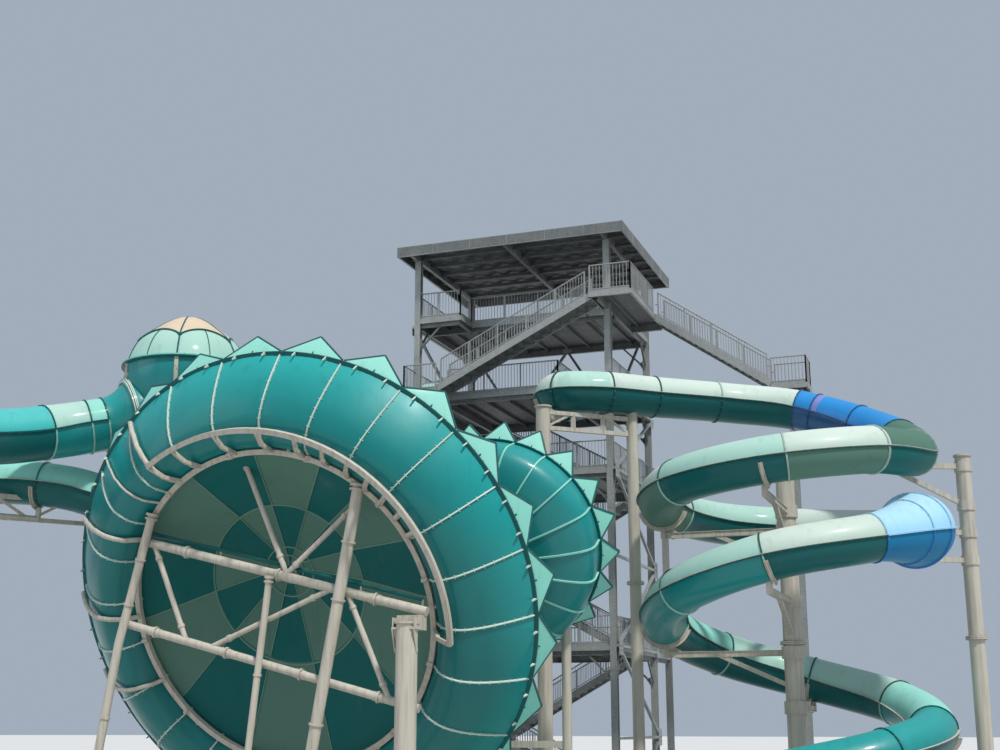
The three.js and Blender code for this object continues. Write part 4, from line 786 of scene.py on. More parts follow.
# %% The bowl's own frame
BOWL_CENTRE = at(1.5, -12.3, 7.5)
BOWL_TILT = math.radians(23.5)
BOWL_AXIS = at(0, math.cos(BOWL_TILT), math.sin(BOWL_TILT))
BOWL_UP = at(0, -math.sin(BOWL_TILT), math.cos(BOWL_TILT))
BOWL_RIGHT = at(1, 0, 0)
BOWL_RADIUS = 7.5
PANELS = 24
PANEL_ANGLE = 2 * math.pi / PANELS
SEAM_PHASE = math.radians(-5.5)
TROUGH = [(7.46, 0), (7.14, -0.42), (6.72, -0.9), (6.26, -1.32), (5.8, -1.56), (5.34, -1.5), (4.94, -1.0),
          (4.94, -0.84)]


def outward(angle):
    return BOWL_RIGHT * math.cos(angle) + BOWL_UP * math.sin(angle)


def bowl_place(r, angle, t, centre=BOWL_CENTRE):
    return centre + outward(angle) * r + BOWL_AXIS * t


def off_line(line, i, out, angle, side=0.0, centre=BOWL_CENTRE):
    """A point off point i of a turned line, by out and sideways by side."""
    (r, t), (nr, nt) = line[i], across(line, i)
    return bowl_place(max(r + nr * out, 0.01), angle + side / max(r, 0.3), t + nt * out, centre)


def painted_bowl_shade(finish, clouds):
    """Painted shade: darker low down and towards the fold of the wall, where the wall lies in shade; low down
    it stands for dirt as well.
    """
    where = finish.place()
    height = finish.node("ShaderNodeSeparateXYZ", {}, {0: where}, "Z")
    depth = finish.vector("DOT_PRODUCT", where, BOWL_AXIS, "Value")
    inward = (BOWL_CENTRE.dot(BOWL_AXIS) - depth).between(0.1, 1.4)
    low_down = 1 - (height + clouds * 2.5).between(4.0, 13.5)
    return (low_down * 0.6 + inward * 0.75).clamp() * 0.9


trough_line = smooth_line(TROUGH, 4)
# The bowl's teal takes painted shade low down and towards the fold of its wall.
bowl_teal = gelcoat("bowl_teal", (0.008, 0.310, 0.305), (0.045, 0.480, 0.460), coat=0.25, painted_shade=painted_bowl_shade)
for side, angle in (("left", math.pi), ("right", 0)):
    print("bowl rim on the", side, [round(v, 2) for v in bowl_place(BOWL_RADIUS, angle, 0)])

# %% [markdown]
# Each quarter of the wall is one piece of six panels. The panels are moulded with a slight crown between
# their flanges, so the skin swells a little between two seams, and a raised double flange with bolts runs
# down every seam. The rim is a flat ring with small brackets under it.

# %% Bowl wall
QUARTER = PANELS // 4
PANEL_SLICES = 8
HALF_WALL = 0.035
SWELL = 0.022
SEAM_SECTION = ((0.02, -0.026), (0.085, -0.02), (0.095, 0), (0.085, 0.02), (0.02, 0.026))
BRACKET = ((7.53, -0.03), (7.62, -0.03), (7.56, -0.24), (7.53, -0.24))


def bowl_wall(part):
    form = Form(f"bowl_wall_panels_{part}", f"bowl_wall_{part}", "teal_gelcoat",
                bowl_teal, chalk_mint, deep_teal, pale_mint)
    first = SEAM_PHASE + QUARTER * (part - 1) * PANEL_ANGLE
    wide = len(trough_line)
    rows = []
    for i in range(QUARTER * PANEL_SLICES + 1):
        angle = first + PANEL_ANGLE * i / PANEL_SLICES + (0.0002 if i == 0 else 0)
        out = HALF_WALL + SWELL * math.sin(math.pi * (i % PANEL_SLICES) / PANEL_SLICES)
        outer = [off_line(trough_line, n, out, angle) for n in range(wide)]
        inner = [off_line(trough_line, n, -HALF_WALL, angle) for n in range(wide)]
        rows.append(outer + inner[::-1])
    form.grid(rows, lambda r, c: 0 if c < wide - 1 else 3, ring=True)
    for k in range(QUARTER):
        seam = first + k * PANEL_ANGLE
        form.sleeve([[off_line(trough_line, n, out, seam, side) for out, side in SEAM_SECTION]
                     for n in range(wide - 2)], 1)
        for n in range(3, wide - 3, 2):
            r, t = trough_line[n]
            tangent = bowl_place(r, seam + 0.01, t) - bowl_place(r, seam, t)
            for sense in (-1, 1):
                form.stud(off_line(trough_line, n, 0.06, seam, 0.045 * sense), tangent * sense, 0.015)
    for low, high in ((0.002, 0.03), (-0.03, -0.002)):
        section = ((7.42, low), (7.62, low), (7.62, high), (7.42, high))
        form.sleeve([[bowl_place(r, first + QUARTER * PANEL_ANGLE * share, t) for r, t in section]
                     for share in even_shares(48)], 2)
    for k in range(2 * QUARTER):
        angle = first + (k + 0.5) * PANEL_ANGLE / 2
        form.sleeve([[bowl_place(r, angle + side / BOWL_RADIUS, t) for r, t in BRACKET]
                     for side in (-0.02, 0.02)], 1)
        for side in (-0.35, -0.12, 0.12, 0.35):
            form.stud(bowl_place(7.57, angle + side / BOWL_RADIUS, -0.03), -BOWL_AXIS, 0.015, 2)
    form.build()


for part in range(1, 5):
    bowl_wall(part)

# %% [markdown]
# The middle of the back is a cone whose point drifts sideways and up. Twelve sectors alternate dark green
# and grey-green in an outer ring and the other way round in an inner ring, around a small disc. The sectors
# aren't all equally wide, so their edges are listed in degrees.

# %% Bowl back
SECTORS = (2, 24, 47.5, 66, 92, 119.7, 149.7, 182, 214, 246, 280, 320)
SECTOR_SLICES = 8
CONE_FOOT = -0.92
DRIFT = BOWL_RIGHT * -0.34 + BOWL_UP * 0.36
STRIP = ((-0.018, 0.0), (-0.014, 0.035), (0.014, 0.035), (0.018, 0.0))
HOOP = ((-0.022, -0.03), (-0.018, -0.07), (0.018, -0.07), (0.022, -0.03))


def drifted(r, angle, t):
    return bowl_place(r, angle, t) + DRIFT * max(0.0, t - CONE_FOOT)


def straight(first, last, count):
    """Even steps between two flat points."""
    (r0, t0), (r1, t1) = first, last
    return [(r0 + (r1 - r0) * share, t0 + (t1 - t0) * share) for share in even_shares(count)]


def back_ring(name, node, slot, line, shift, hoops):
    form = Form(name, node, slot, dark_green, light_green, seam_green, pale_mint)
    edges = [math.radians(edge) for edge in (*SECTORS, SECTORS[0] + 360)]
    around = [a + (b - a) * i / SECTOR_SLICES
              for a, b in zip(edges, edges[1:]) for i in range(SECTOR_SLICES)]
    for out, kind in ((-HALF_WALL, lambda r, c: (r // SECTOR_SLICES + shift) % 2), (HALF_WALL, 3)):
        form.grid([[drifted(r, a, t + out) for r, t in line] for a in around], kind, loop=True)
    for edge in edges[:-1]:
        form.sleeve([[drifted(r, edge + side / max(r, 0.2), t - 0.03 - rise) for side, rise in STRIP]
                     for r, t in line if r > 0], 2)
    for r, t in hoops:
        rows = [[drifted(r + side, a, t + rise) for side, rise in HOOP] for a in turns(96)]
        form.grid(rows, 2, loop=True)
    form.build()


back_ring("bowl_back_sectors", "bowl_back_outer", "dark_green_gelcoat",
          straight((4.9, CONE_FOOT), (2.5, 0.2), 8), 0, [(2.54, 0.19)])
back_ring("bowl_back_middle", "bowl_back_inner", "light_green_gelcoat",
          straight((2.5, 0.2), (0.45, 0.98), 6) + [(0.2, 1.0), (0.0, 1.0)], 1, [(0.8, 0.85), (0.45, 0.97)])

# %% [markdown]
# Pointed fins stand round the rim, one on each panel, leaning outwards. Each is a flat moulded plate with a
# dark edge trim. One outline, raised a little in its middle and framed by edge bars, is repeated round the
# rim by a loop, which also serves the smaller dish.

# %% Fins
FIN_LEAN, FIN_RISE = 0.6, 0.8
FIN_TIP = 0.78


def fins(name, node, centre, radius, count, start):
    form = Form(name, node, "mint_gelcoat", mint, trim, deep_teal, bolt_steel, pale_mint)
    step = 2 * math.pi / count
    width = step * 0.485
    outline = [(-width, 0.0), (width, 0.0), (width, 0.1), (0.0, FIN_TIP), (-width, 0.1)]

    def spot(angle, tall, thick):
        return bowl_place(radius + FIN_LEAN * tall + thick, angle, 0.032 + FIN_RISE * tall, centre)

    for middle in turns(count, start + step / 2):
        for thick, kind in ((0.02, 0), (-0.02, 4)):
            rim = [spot(middle + a, tall, thick) for a, tall in outline]
            form.add(rim + [spot(middle, 0.28, thick * 2.2)], [(i, (i + 1) % 5, 5) for i in range(5)], kind)
        form.chain([spot(middle + a, tall, 0) for a, tall in outline[2:]], 0.055, 0.07, 1)
        form.bar(spot(middle - width, 0.05, 0), spot(middle + width, 0.05, 0), 0.08, 0.06, 2)
        for side in (-0.6, -0.2, 0.2, 0.6):
            form.stud(spot(middle + width * side, 0.06, 0.03), outward(middle), 0.02, 3)
        form.bar(spot(middle, 0, 0) - BOWL_AXIS * 0.02, spot(middle, 0.35, -0.03), 0.03, 0.05, 2)
    form.build(sharp=20)


fins("bowl_fins", "fin_crown", BOWL_CENTRE, 7.53, PANELS, SEAM_PHASE)

# %% [markdown]
# A smaller dish of the same make stands behind the bowl's right side. It is a shallow turned shell with
# twenty seams and its own fins. It reuses the bowl's directions and its fin function, so that both stay
# parallel and alike.

# %% Small dish
DISH_CENTRE = at(6.75, -9.1, 9.3)
DISH_PANELS = 20
DISH_SEAM = ((0.02, -0.03), (0.085, -0.024), (0.085, 0.024), (0.02, 0.03))
DISH_RIM = ((3.24, 0.03), (3.42, 0.03), (3.42, -0.03), (3.24, -0.03))


def off_dish(n, out, angle, side=0.0):
    return off_line(dish_line, n, out, angle, side, DISH_CENTRE)


dish_line = smooth_line([(3.3, 0.03), (3.3, -0.95), (2.64, -1.42), (1.32, -1.75), (0.02, -1.76)], 5)
dish = Form("small_dish_shell", "small_dish", "teal_gelcoat", teal, mint, deep_teal, bolt_steel, pale_mint)
for out, kind in ((HALF_WALL, 0), (-HALF_WALL, 4)):
    dish.grid([[off_dish(n, out, a) for n in range(len(dish_line))] for a in turns(100)], kind, loop=True)
for angle in turns(DISH_PANELS):
    dish.sleeve([[off_dish(n, out, angle, side) for out, side in DISH_SEAM]
                 for n in range(len(dish_line) - 2)], 1)
rim = [[bowl_place(r, a, t, DISH_CENTRE) for r, t in DISH_RIM] for a in turns(100)]
dish.grid(rim, 2, ring=True, loop=True)
dish.build()
fins("small_dish_fin_plates", "small_dish_fins", DISH_CENTRE, 3.33, DISH_PANELS, 0.0)

# %% [markdown]
# Cream painted steel carries all of this. On the bowl's back a ring of box section follows the cone's edge,
# and over its upper part a second chord runs beside it like a ladder bent round a drum. Arcs of box section
# are swept from a small square, and the rungs are bars between the two chords.

# %% Ring and ladder behind the bowl
RING = (4.86, -1.16)
LADDER = (5.7, -2.13)
LADDER_ARC = (-8, 122)
RUNG_KNEE = (5.22, -1.8)
RUNGS = (-8, 26, 32.5, 39, 46, 53.5, 62, 71, 83, 97, 112, 122)
TIES = (0, 77, 165, 225, 300)
CLAMPS = 12
WALL_PIPES = ((128, 122, 0.15), (140, 134, 0.07), (157, 150, 0.15), (176, 180, 0.15), (196, 205, 0.13))


def cream_steel(name, node, *more):
    return Form(name, node, "cream_paint", cream, bolt_steel, *more)


def on_bowl(point, degrees, out=0.0, rise=0.0):
    """A flat point turned to an angle, moved away from the axis by out and along it by rise."""
    return bowl_place(point[0] + out, math.radians(degrees), point[1] + rise)


def arc(form, point, start, end, width):
    """A box section that follows the bowl's round from one angle to another, in degrees."""
    corners = [(out * width / 2, rise * width / 2) for out, rise in ((-1, -1), (1, -1), (1, 1), (-1, 1))]
    rows = [[on_bowl(point, start + (end - start) * share, *corner) for corner in corners]
            for share in even_shares(round((end - start) / 3))]
    if end - start == 360:
        form.grid(rows[:-1], ring=True, loop=True)
    else:
        form.sleeve(rows)


ring = cream_steel("bowl_ring_steel", "bowl_ring_frame")
arc(ring, RING, 0, 360, 0.16)
arc(ring, LADDER, *LADDER_ARC, 0.15)
for degrees in RUNGS:
    ring.chain([on_bowl(point, degrees) for point in (RING, RUNG_KNEE, LADDER)], 0.11)
for degrees in TIES:
    ring.bar(on_bowl(RING, degrees), on_bowl(RING, degrees, 0.28), 0.1)
for k in range(CLAMPS):
    degrees = 9.5 + 360 / CLAMPS * k
    for side in (-0.9, 0.9):
        ring.stud(on_bowl(RING, degrees + side, 0, -0.08), -BOWL_AXIS, 0.022)
    ring.bar(on_bowl(RING, degrees, -0.1, -0.05), on_bowl(RING, degrees, 0.1, -0.05), 0.2, 0.1)
for start, end, size in WALL_PIPES:
    points = []
    for share in even_shares(12):
        n = min(2 + round(share * (len(trough_line) - 8)), len(trough_line) - 5)
        angle = math.radians(start + (end - start) * share)
        points.append(off_line(trough_line, n, 0.11 + size / 2, angle))
    ring.pipe(points + [on_bowl(RING, end, 0.05, -0.05)], size, 12)
ring.build()

# %% [markdown]
# Round pipes come in bolted lengths, and every column stands on a base plate. The two functions below make
# both. Each pipe has sleeves where its lengths are bolted, which break its long light line in the same way
# as on the real one.

# %% Pipes and base plates
PLATE = 0.04


def sleeved(form, start, end, diameter):
    """A pipe with a bolted sleeve about every two and a half metres."""
    form.rod(start, end, diameter, 18)
    along = (end - start).normalized()
    count = int((end - start).length / 2.4)
    for i in range(count):
        middle = start + (end - start) * (i + 0.5) / count
        form.collar(middle, along, 0.16, diameter * 1.1, 18)
        form.collar(middle, along, 0.03, diameter * 1.42, 18)
        for spot in circle(middle, *member_axes(start, end), diameter * 0.63, 8):
            for sense in (-1, 1):
                form.stud(spot + along * 0.03 * sense, along * sense, 0.018)


def base(form, x, y, side, diameter=0.0):
    """A base plate with four anchor bolts and, round a pipe, four gussets."""
    half = side / 2
    form.block((x - half, y - half, 0), (x + half, y + half, PLATE))
    for sx in (-1, 1):
        for sy in (-1, 1):
            form.stud(at(x + sx * half * 0.78, y + sy * half * 0.78, PLATE), UP, 0.03)
    if diameter:
        for sx, sy in ((1, 0), (-1, 0), (0, 1), (0, -1)):
            near = at(x, y, PLATE) + at(sx, sy, 0) * diameter * 0.48
            far = at(x, y, PLATE) + at(sx, sy, 0) * half * 0.92
            gusset = [near, far, far + UP * 0.05, near + UP * 0.34]
            thick = at(-sy, sx, 0) * 0.008
            form.sleeve([[p - thick for p in gusset], [p + thick for p in gusset]])


print("pipes and base plates ready")

# %% [markdown]
# In front of the ring a flat frame of round pipes ties the bowl to its legs: two long pipes that fall to
# the right, struts between them, a thin conduit above them, and thick legs. All of it lies in one upright
# plane, so its ends are listed as flat points of that plane.

# %% Cross frame and legs
FRAME_Y = -14.55
UPPER_PIPE = ((-2.6, 9.15), (6.7, 6.8))
LOWER_PIPE = ((-3.2, 6.75), (6.5, 4.2))
STRUTS = (((0.6, 11.7), (2.3, 8.0)), ((4.4, 9.85), (2.3, 8.0)), ((0, 6.0), (3.7, 7.5)),
          ((-2.2, 9.0), (-0.95, 6.2)), ((4.25, 7.4), (5.6, 4.45)))
LEGS = (("left", [(-2.2, 9.9), (-3.1, 6.1), (-4.0, 0.035)], 0.26),
        ("right", [(4.65, 10.4), (3.87, 5.8), (2.9, 0.035)], 0.34),
        ("middle", [(1.85, 7.9), (1.1, 0.035)], 0.2))


def in_frame(point, y=FRAME_Y):
    return at(point[0], y, point[1])


cross = cream_steel("bowl_cross_pipes", "bowl_cross_frame", deep_teal)
for line, diameter in ((UPPER_PIPE, 0.27), (LOWER_PIPE, 0.24)):
    sleeved(cross, *[in_frame(point) for point in line], diameter)
for start, end in STRUTS:
    start, end = in_frame(start), in_frame(end)
    cross.rod(start, end, 0.16, 16)
    for share in (0.14, 0.86):
        cross.collar(start.lerp(end, share), (end - start).normalized(), 0.05, 0.21, 16)
(x0, z0), (x1, z1) = UPPER_PIPE
conduit = [in_frame((x, z0 + (z1 - z0) * (x - x0) / (x1 - x0) + 0.3), FRAME_Y + 0.16)
           for x in (-2.5, 0.0, 2.5, 4.6, 6.5)]
cross.pipe(conduit, 0.1, 10, 2)
for point in conduit:
    cross.bar(point, point - UP * 0.3, 0.05)
cross.build()

for side, line, diameter in LEGS:
    y = FRAME_Y - 0.1 - diameter / 2
    leg = cream_steel(f"bowl_{side}_leg_pipe", f"bowl_{side}_leg")
    points = [in_frame(point, y) for point in line]
    leg.pipe(points, diameter, 20)
    along = (points[1] - points[0]).normalized()
    leg.collar(points[0], along, 0.04, diameter * 1.45, 20)
    leg.collar(points[0] + along * 0.13, along, 0.03, diameter * 1.45, 20)
    for start, end in zip(points, points[1:]):
        for share in (0.35, 0.7):
            leg.collar(start.lerp(end, share), (end - start).normalized(), 0.03, diameter * 1.25, 20)
    base(leg, line[-1][0], y, 0.7, diameter)
    leg.build()

# %% [markdown]
# Big round columns stand where the slide needs them most. Each has a base plate with gussets, a bolted
# splice about every six metres and a cap plate, and the arms that reach to the tubes end in a cradle that
# holds the lower half of the shell.

# %% Columns and cradles
ROUND = 28
SPLICE = 6.0


def column(form, foot, top, diameter, plate, cap=True):
    """A round column on its base, with bolted splices down from its top and a cap plate."""
    base(form, foot.x, foot.y, plate, diameter)
    form.rod(foot + UP * 0.02, foot + UP * top, diameter, ROUND)
    z = top - SPLICE
    while z > 0.8:
        for low, high in ((-0.045, -0.004), (0.004, 0.045)):
            form.rod(foot + UP * (z + low), foot + UP * (z + high), diameter + 0.2, ROUND)
        for spot in circle(foot + UP * z, at(1, 0, 0), at(0, 1, 0), diameter / 2 + 0.055, 12):
            for side in (1, -1):
                form.stud(spot + UP * 0.045 * side, UP * side, 0.024)
        z -= SPLICE
    if cap:
        form.rod(foot + UP * (top - 0.05), foot + UP * (top + 0.006), diameter + 0.1, ROUND)


def cradle(form, route, point, radius=TUBE_RADIUS):
    """A strap with a stiffening rib under the lower half of a tube, where the tube passes a point."""
    centre, along, side, upright = route.frame(route.nearest(point))
    for wide, low, high in ((0.14, 0.005, 0.05), (0.02, 0.04, 0.14)):
        corners = ((low, -1), (high, -1), (high, 1), (low, 1))
        rows = []
        for share in even_shares(16):
            angle = math.radians(-165 + 150 * share)
            out = side * math.cos(angle) + upright * math.sin(angle)
            rows.append([centre + out * (radius + reach) + along * sense * wide / 2
                         for reach, sense in corners])
        form.sleeve(rows)


print("columns and cradles ready")

# %% [markdown]
# Three columns carry the slide on the right: one under its elbow, with a short truss to a thinner one, the
# mast in the middle of the helix with an arm to each quarter turn, and an outer column with a long tie to
# the mast. The arms find their height from the slide's own line, so no arm can miss its tube.

# %% Supports of the right slide
ELBOW_POST, TRUSS_POST = at(7.2, -5.7, 0), at(9.75, -3.42, 0)
OUTER_POST = at(20.7, -2.05, 0)
TRUSS = (13.7, 14.25)
ARM_DROP = 1.0
ARM_QUARTERS = (2, 3, 4, 6, 7, 8, 10)
OUTER_TIE, OUTER_KNEE = 12.12, 10.8
FLARE_ARMS = (9.9, 9.0)

elbow = cream_steel("elbow_steel", "elbow_frame")
column(elbow, ELBOW_POST, 14.45, 0.5, 0.6)
column(elbow, TRUSS_POST, 14.5, 0.4, 0.6)
for z in TRUSS:
    elbow.bar(ELBOW_POST + UP * z, TRUSS_POST + UP * z, 0.14)
for share in (1 / 3, 2 / 3):
    foot = ELBOW_POST.lerp(TRUSS_POST, share)
    elbow.bar(foot + UP * TRUSS[0], foot + UP * TRUSS[1], 0.14)
for low, high in ((0.02, 0.3), (0.98, 0.7)):
    foot, head = ELBOW_POST.lerp(TRUSS_POST, low), ELBOW_POST.lerp(TRUSS_POST, high)
    elbow.bar(foot + UP * (TRUSS[0] + 0.02), head + UP * (TRUSS[1] - 0.02), 0.08)
elbow.bar(ELBOW_POST + UP * 14.28, at(7.35, -4.5, 14.28), 0.2, 0.36)
cradle(elbow, right_route, at(7.3, -4.4, 15.15))
elbow.build()

mast = cream_steel("helix_steel", "helix_mast")
column(mast, HELIX_CENTRE, 12.3, 0.6, 0.9)
for quarter in ARM_QUARTERS:
    centre = helix_point(quarter)
    inner = HELIX_CENTRE + UP * (centre.z - ARM_DROP)
    under = at(centre.x, centre.y, inner.z)
    mast.bar(inner, under, 0.12, 0.18)
    for low in (-0.085, 0.085):
        mast.bar(inner + UP * low, under + UP * low, 0.18, 0.02)
    mast.bar(under - UP * 0.09, under + UP * 0.32, 0.17)
    mast.bar(inner - UP * 1.1, inner.lerp(under, 0.6), 0.14)
    mast.bar(inner.lerp(under, 0.9) - UP * 0.01, under + UP * 0.22, 0.05, 0.3)
    cradle(mast, right_route, centre)
    mast.collar(inner, UP, 0.2, 0.72, ROUND)
mast.build()

outer = cream_steel("outer_steel", "outer_column")
column(outer, OUTER_POST, 12.5, 0.5, 0.9)
tie_from, tie_to = OUTER_POST + UP * OUTER_TIE, HELIX_CENTRE + UP * OUTER_TIE
outer.bar(tie_from, tie_to, 0.18)
outer.bar(OUTER_POST + UP * OUTER_KNEE, tie_from.lerp(tie_to, 0.45), 0.14)
flare_arm = helix_point(4.75)
for z in FLARE_ARMS:
    outer.bar(OUTER_POST + UP * z, at(flare_arm.x, flare_arm.y, z), 0.16)
for z in (*FLARE_ARMS, OUTER_TIE - 0.02, OUTER_KNEE):
    outer.collar(OUTER_POST + UP * z, UP, 0.16, 0.58, ROUND)
low_arm = helix_point(9) - UP * 0.95
outer.bar(OUTER_POST + UP * low_arm.z, low_arm, 0.16)
outer.bar(low_arm - UP * 0.08, low_arm + UP * 0.3, 0.15)
cradle(outer, right_route, helix_point(9))
outer.build()

# %% [markdown]
# A thick column with a saddle holds the cross frame. Another one carries the domed chamber on an arm and is
# tied by a truss to the mast inside the left loop. Two thin posts hold the small dish. They share the
# column function, so that bases, splices and caps match everywhere.

# %% Supports of the bowl, the chamber, the loop and the dish
BOWL_POST = at(6.3, FRAME_Y - 0.45, 0)
DOME_POST = at(-4.6, -8.2, 0)
LOOP_POST = at(-10.3, -15.7, 0)
DISH_POSTS = (at(4.65, -8.6, 0), at(8.85, -8.6, 0))
DOME_ARM = 12.05
LOOP_TRUSS = (11.0, 10.3)
LOOP_ARM_DROP = 1.15
DISH_BEAM = 3.2

bowl_post = cream_steel("bowl_post_steel", "bowl_column")
column(bowl_post, BOWL_POST, 6.5, 0.6, 0.9)
for y, low, high in ((-0.7, 6.3, 6.36), (-0.35, 6.36, 6.7)):
    bowl_post.block((5.95, FRAME_Y + y, low), (6.65, FRAME_Y + 0.1, high))
for x in (5.97, 6.3, 6.61):
    bowl_post.block((x - 0.012, FRAME_Y - 0.68, 6.36), (x + 0.012, FRAME_Y - 0.3, 6.62))
    bowl_post.bar(at(x, FRAME_Y - 0.45, 5.7), at(x, FRAME_Y - 0.68, 6.31), 0.024, 0.1)
bowl_post.bar(at(6.0, FRAME_Y - 0.45, 5.75), at(5.96, FRAME_Y - 0.45, 6.3), 0.1)
bowl_post.build()

dome_post = cream_steel("dome_steel", "dome_column")
column(dome_post, DOME_POST, 14.3, 0.5, 0.8)
dome_foot = at(DOME_CENTRE.x, DOME_CENTRE.y, 0)
dome_post.bar(DOME_POST + UP * DOME_ARM, dome_foot + at(0, -0.3, DOME_ARM), 0.24, 0.3)
dome_post.rod(dome_foot + UP * (DOME_ARM - 0.1), dome_foot + UP * (DOME_ARM + 0.55), 0.5, 24)
dome_post.rod(dome_foot + UP * (DOME_ARM + 0.45), dome_foot + UP * (DOME_ARM + 0.54), 1.5, 32)
dome_post.bar(DOME_POST + UP * 1.77, on_bowl((7.16, -0.45), 233), 0.14)
dome_post.bar(DOME_POST + UP * 10.6, DOME_POST.lerp(dome_foot, 0.6) + UP * (DOME_ARM - 0.05), 0.14)
dome_post.build()

loop = cream_steel("loop_steel", "loop_mast")
column(loop, LOOP_POST, 12.6, 0.5, 0.8)
chords = [[LOOP_POST.lerp(DOME_POST, share) + UP * z for share in even_shares(8)] for z in LOOP_TRUSS]
for chord in chords:
    loop.bar(chord[0], chord[-1], 0.14)
loop.chain([chords[i % 2][i] for i in range(9)], 0.09)
for station in (4, 6, 8, 10):
    centre = left_route.points[station]
    under = centre - UP * LOOP_ARM_DROP
    arm = at(LOOP_POST.x, LOOP_POST.y, under.z)
    loop.rod(arm, under, 0.18)
    loop.rod(under - UP * 0.09, under + UP * 0.35, 0.18)
    loop.bar(arm - UP * 1.3, arm.lerp(under, 0.55), 0.1)
    cradle(loop, left_route, centre, TUBE_RADIUS if station == 10 else BIG_TUBE_RADIUS)
loop.build()

dish_posts = cream_steel("small_dish_steel", "small_dish_frame")
for foot in DISH_POSTS:
    column(dish_posts, foot, 6.95, 0.3, 0.7, cap=False)
dish_posts.bar(DISH_POSTS[0] + UP * DISH_BEAM, DISH_POSTS[1] + UP * DISH_BEAM, 0.2)
dish_posts.bar(at(ELBOW_POST.x, DISH_POSTS[0].y, DISH_BEAM), ELBOW_POST + UP * DISH_BEAM, 0.14)
for foot, sense in zip(DISH_POSTS, (1, -1)):
    dish_posts.bar(foot + UP * 2.1, foot + at(1.1 * sense, 0, 3.15), 0.1)
dish_posts.build()

# %% [markdown]
# The bowl empties through an open channel at its lowest point, on the side that faces the tower. It is the
# lower half of a tube with a rolled lip. Cutting a whole tube in two would work, but half rings of points,
# swept along a short route, give its wall and its lips in one go.

# %% Bowl outlet
CHANNEL_SLICES = 24
CHANNEL_RADIUS = 0.8
CHANNEL_WALL = 0.06
LIP = 0.1
channel_route = Route([(1.5, -8.85, 1.25), (1.5, -7.0, 1.1), (1.5, -4.6, 0.95)])
channel = Form("outlet_channel", "bowl_outlet", "teal_gelcoat", teal, pale_mint, deep_teal, cream)
rows, lips = [], ([], [])
for share in even_shares(CHANNEL_SLICES):
    centre, _, side, upright = channel_route.frame(channel_route.run[-1] * share)
    angles = [math.pi * (1 + step) for step in even_shares(CHANNEL_SLICES)]
    half = [side * math.cos(a) + upright * math.sin(a) for a in angles]
    rows.append([centre + out * CHANNEL_RADIUS for out in half]
                + [centre + out * (CHANNEL_RADIUS - CHANNEL_WALL) for out in reversed(half)])
    for lip, sense in zip(lips, (-1, 1)):
        edge = centre + side * sense * (CHANNEL_RADIUS - CHANNEL_WALL / 2)
        lip.append(circle(edge, side, upright, LIP / 2, 8))
channel.sleeve(rows, lambda r, c: 0 if c < CHANNEL_SLICES else 1)
for lip in lips:
    channel.sleeve(lip, 2)
for y, top in ((-8.0, 0.45), (-5.2, 0.25)):
    channel.block((1.2, y - 0.1, 0), (1.8, y + 0.1, top), 3)
    channel.block((0.9, y - 0.07, top - 0.12), (2.1, y + 0.07, top - 0.02), 3)
    for sense in (-1, 1):
        channel.bar(at(1.5 + sense * 0.55, y, top - 0.1), at(1.5 + sense * 0.78, y, 0.8), 0.08, 0.06, 3)
channel.build()

# %% [markdown]
# The tower's columns are wide-flange sections, galvanised after welding and spliced with bolted plates. An
# outline could be swept upwards, but a real one is three plates, and plates are how it is made here. Where a
# beam lands, stiffeners close the section.

# %% Columns of the tower
STOREY = 3.3
BAY_X, BAY_Y = 8.0, 6.0
HALF_COLUMN = 0.125
FLANGE = 0.022
EAVE, RIDGE = 22.3, 22.72
LEVELS = [STOREY * storeys for storeys in (2, 4, 5, 6)]
STAIR_POST_Y = 8.625


def zinc_steel(name, node):
    return Form(name, node, "galvanised_steel", zinc, bolt_steel, dull_shaded_zinc, shaded_zinc)


def wide_flange(name, node, x, y, top, levels):
    """A column of three plates, with stiffeners at the levels where beams land and bolted splices."""
    post = zinc_steel(name, node)
    base(post, x, y, 0.6)
    half, web = HALF_COLUMN, HALF_COLUMN - 0.02
    for sense in (-1, 1):
        face, inner = y + sense * half, y + sense * (half - FLANGE)
        post.block((x - half, min(face, inner), 0.02), (x + half, max(face, inner), top))
    # The web takes the dull copy of the steel: painted shade between the flanges.
    post.block((x - 0.01, y - web, 0.02), (x + 0.01, y + web, top), 2)
    for level in levels:
        for z in (level - 0.35, level - 0.07):
            post.block((x - half + 0.004, y - web, z), (x + half - 0.004, y + web, z + 0.014), 2)
    for z in range(6, int(top), 6):
        for sense in (-1, 1):
            face, plate = y + sense * half, y + sense * (half + 0.014)
            near, far = min(face, plate), max(face, plate)
            post.block((x - half + 0.01, near, z - 0.3), (x + half - 0.01, far, z + 0.3))
            for dx in (-0.07, 0.07):
                for dz in (-0.22, -0.13, 0.13, 0.22):
                    post.stud(at(x + dx, plate, z + dz), at(0, sense, 0), 0.016)
    post.build()


for i, (x, y) in enumerate(((0, 0), (BAY_X, 0), (0, BAY_Y), (BAY_X, BAY_Y)), 1):
    wide_flange(f"tower_column_section_{i}", f"tower_column_{i}", x, y, EAVE, LEVELS)
for i, x, storeys in ((1, 0, (1, 3)), (2, BAY_X, (2, 4))):
    wide_flange(f"stair_post_section_{i}", f"stair_post_{i}", x, STAIR_POST_Y, storeys[1] * STOREY,
                [STOREY * storey for storey in storeys])

# %% [markdown]
# Every open edge has a guard: posts, a top rail, upright balusters above a bottom rail, and a toe board on
# the flat runs. One function makes it along a line of floor points, level or sloping, so that stairs and
# decks match. On the real tower the bays are welded in the shop and bolted to the deck's edge.

# %% Guards and beams
GUARD = 1.1
POST_BAY = 1.6
BALUSTER_PITCH = 0.125
BEAM_DEPTH, BEAM_WIDTH = 0.3, 0.14


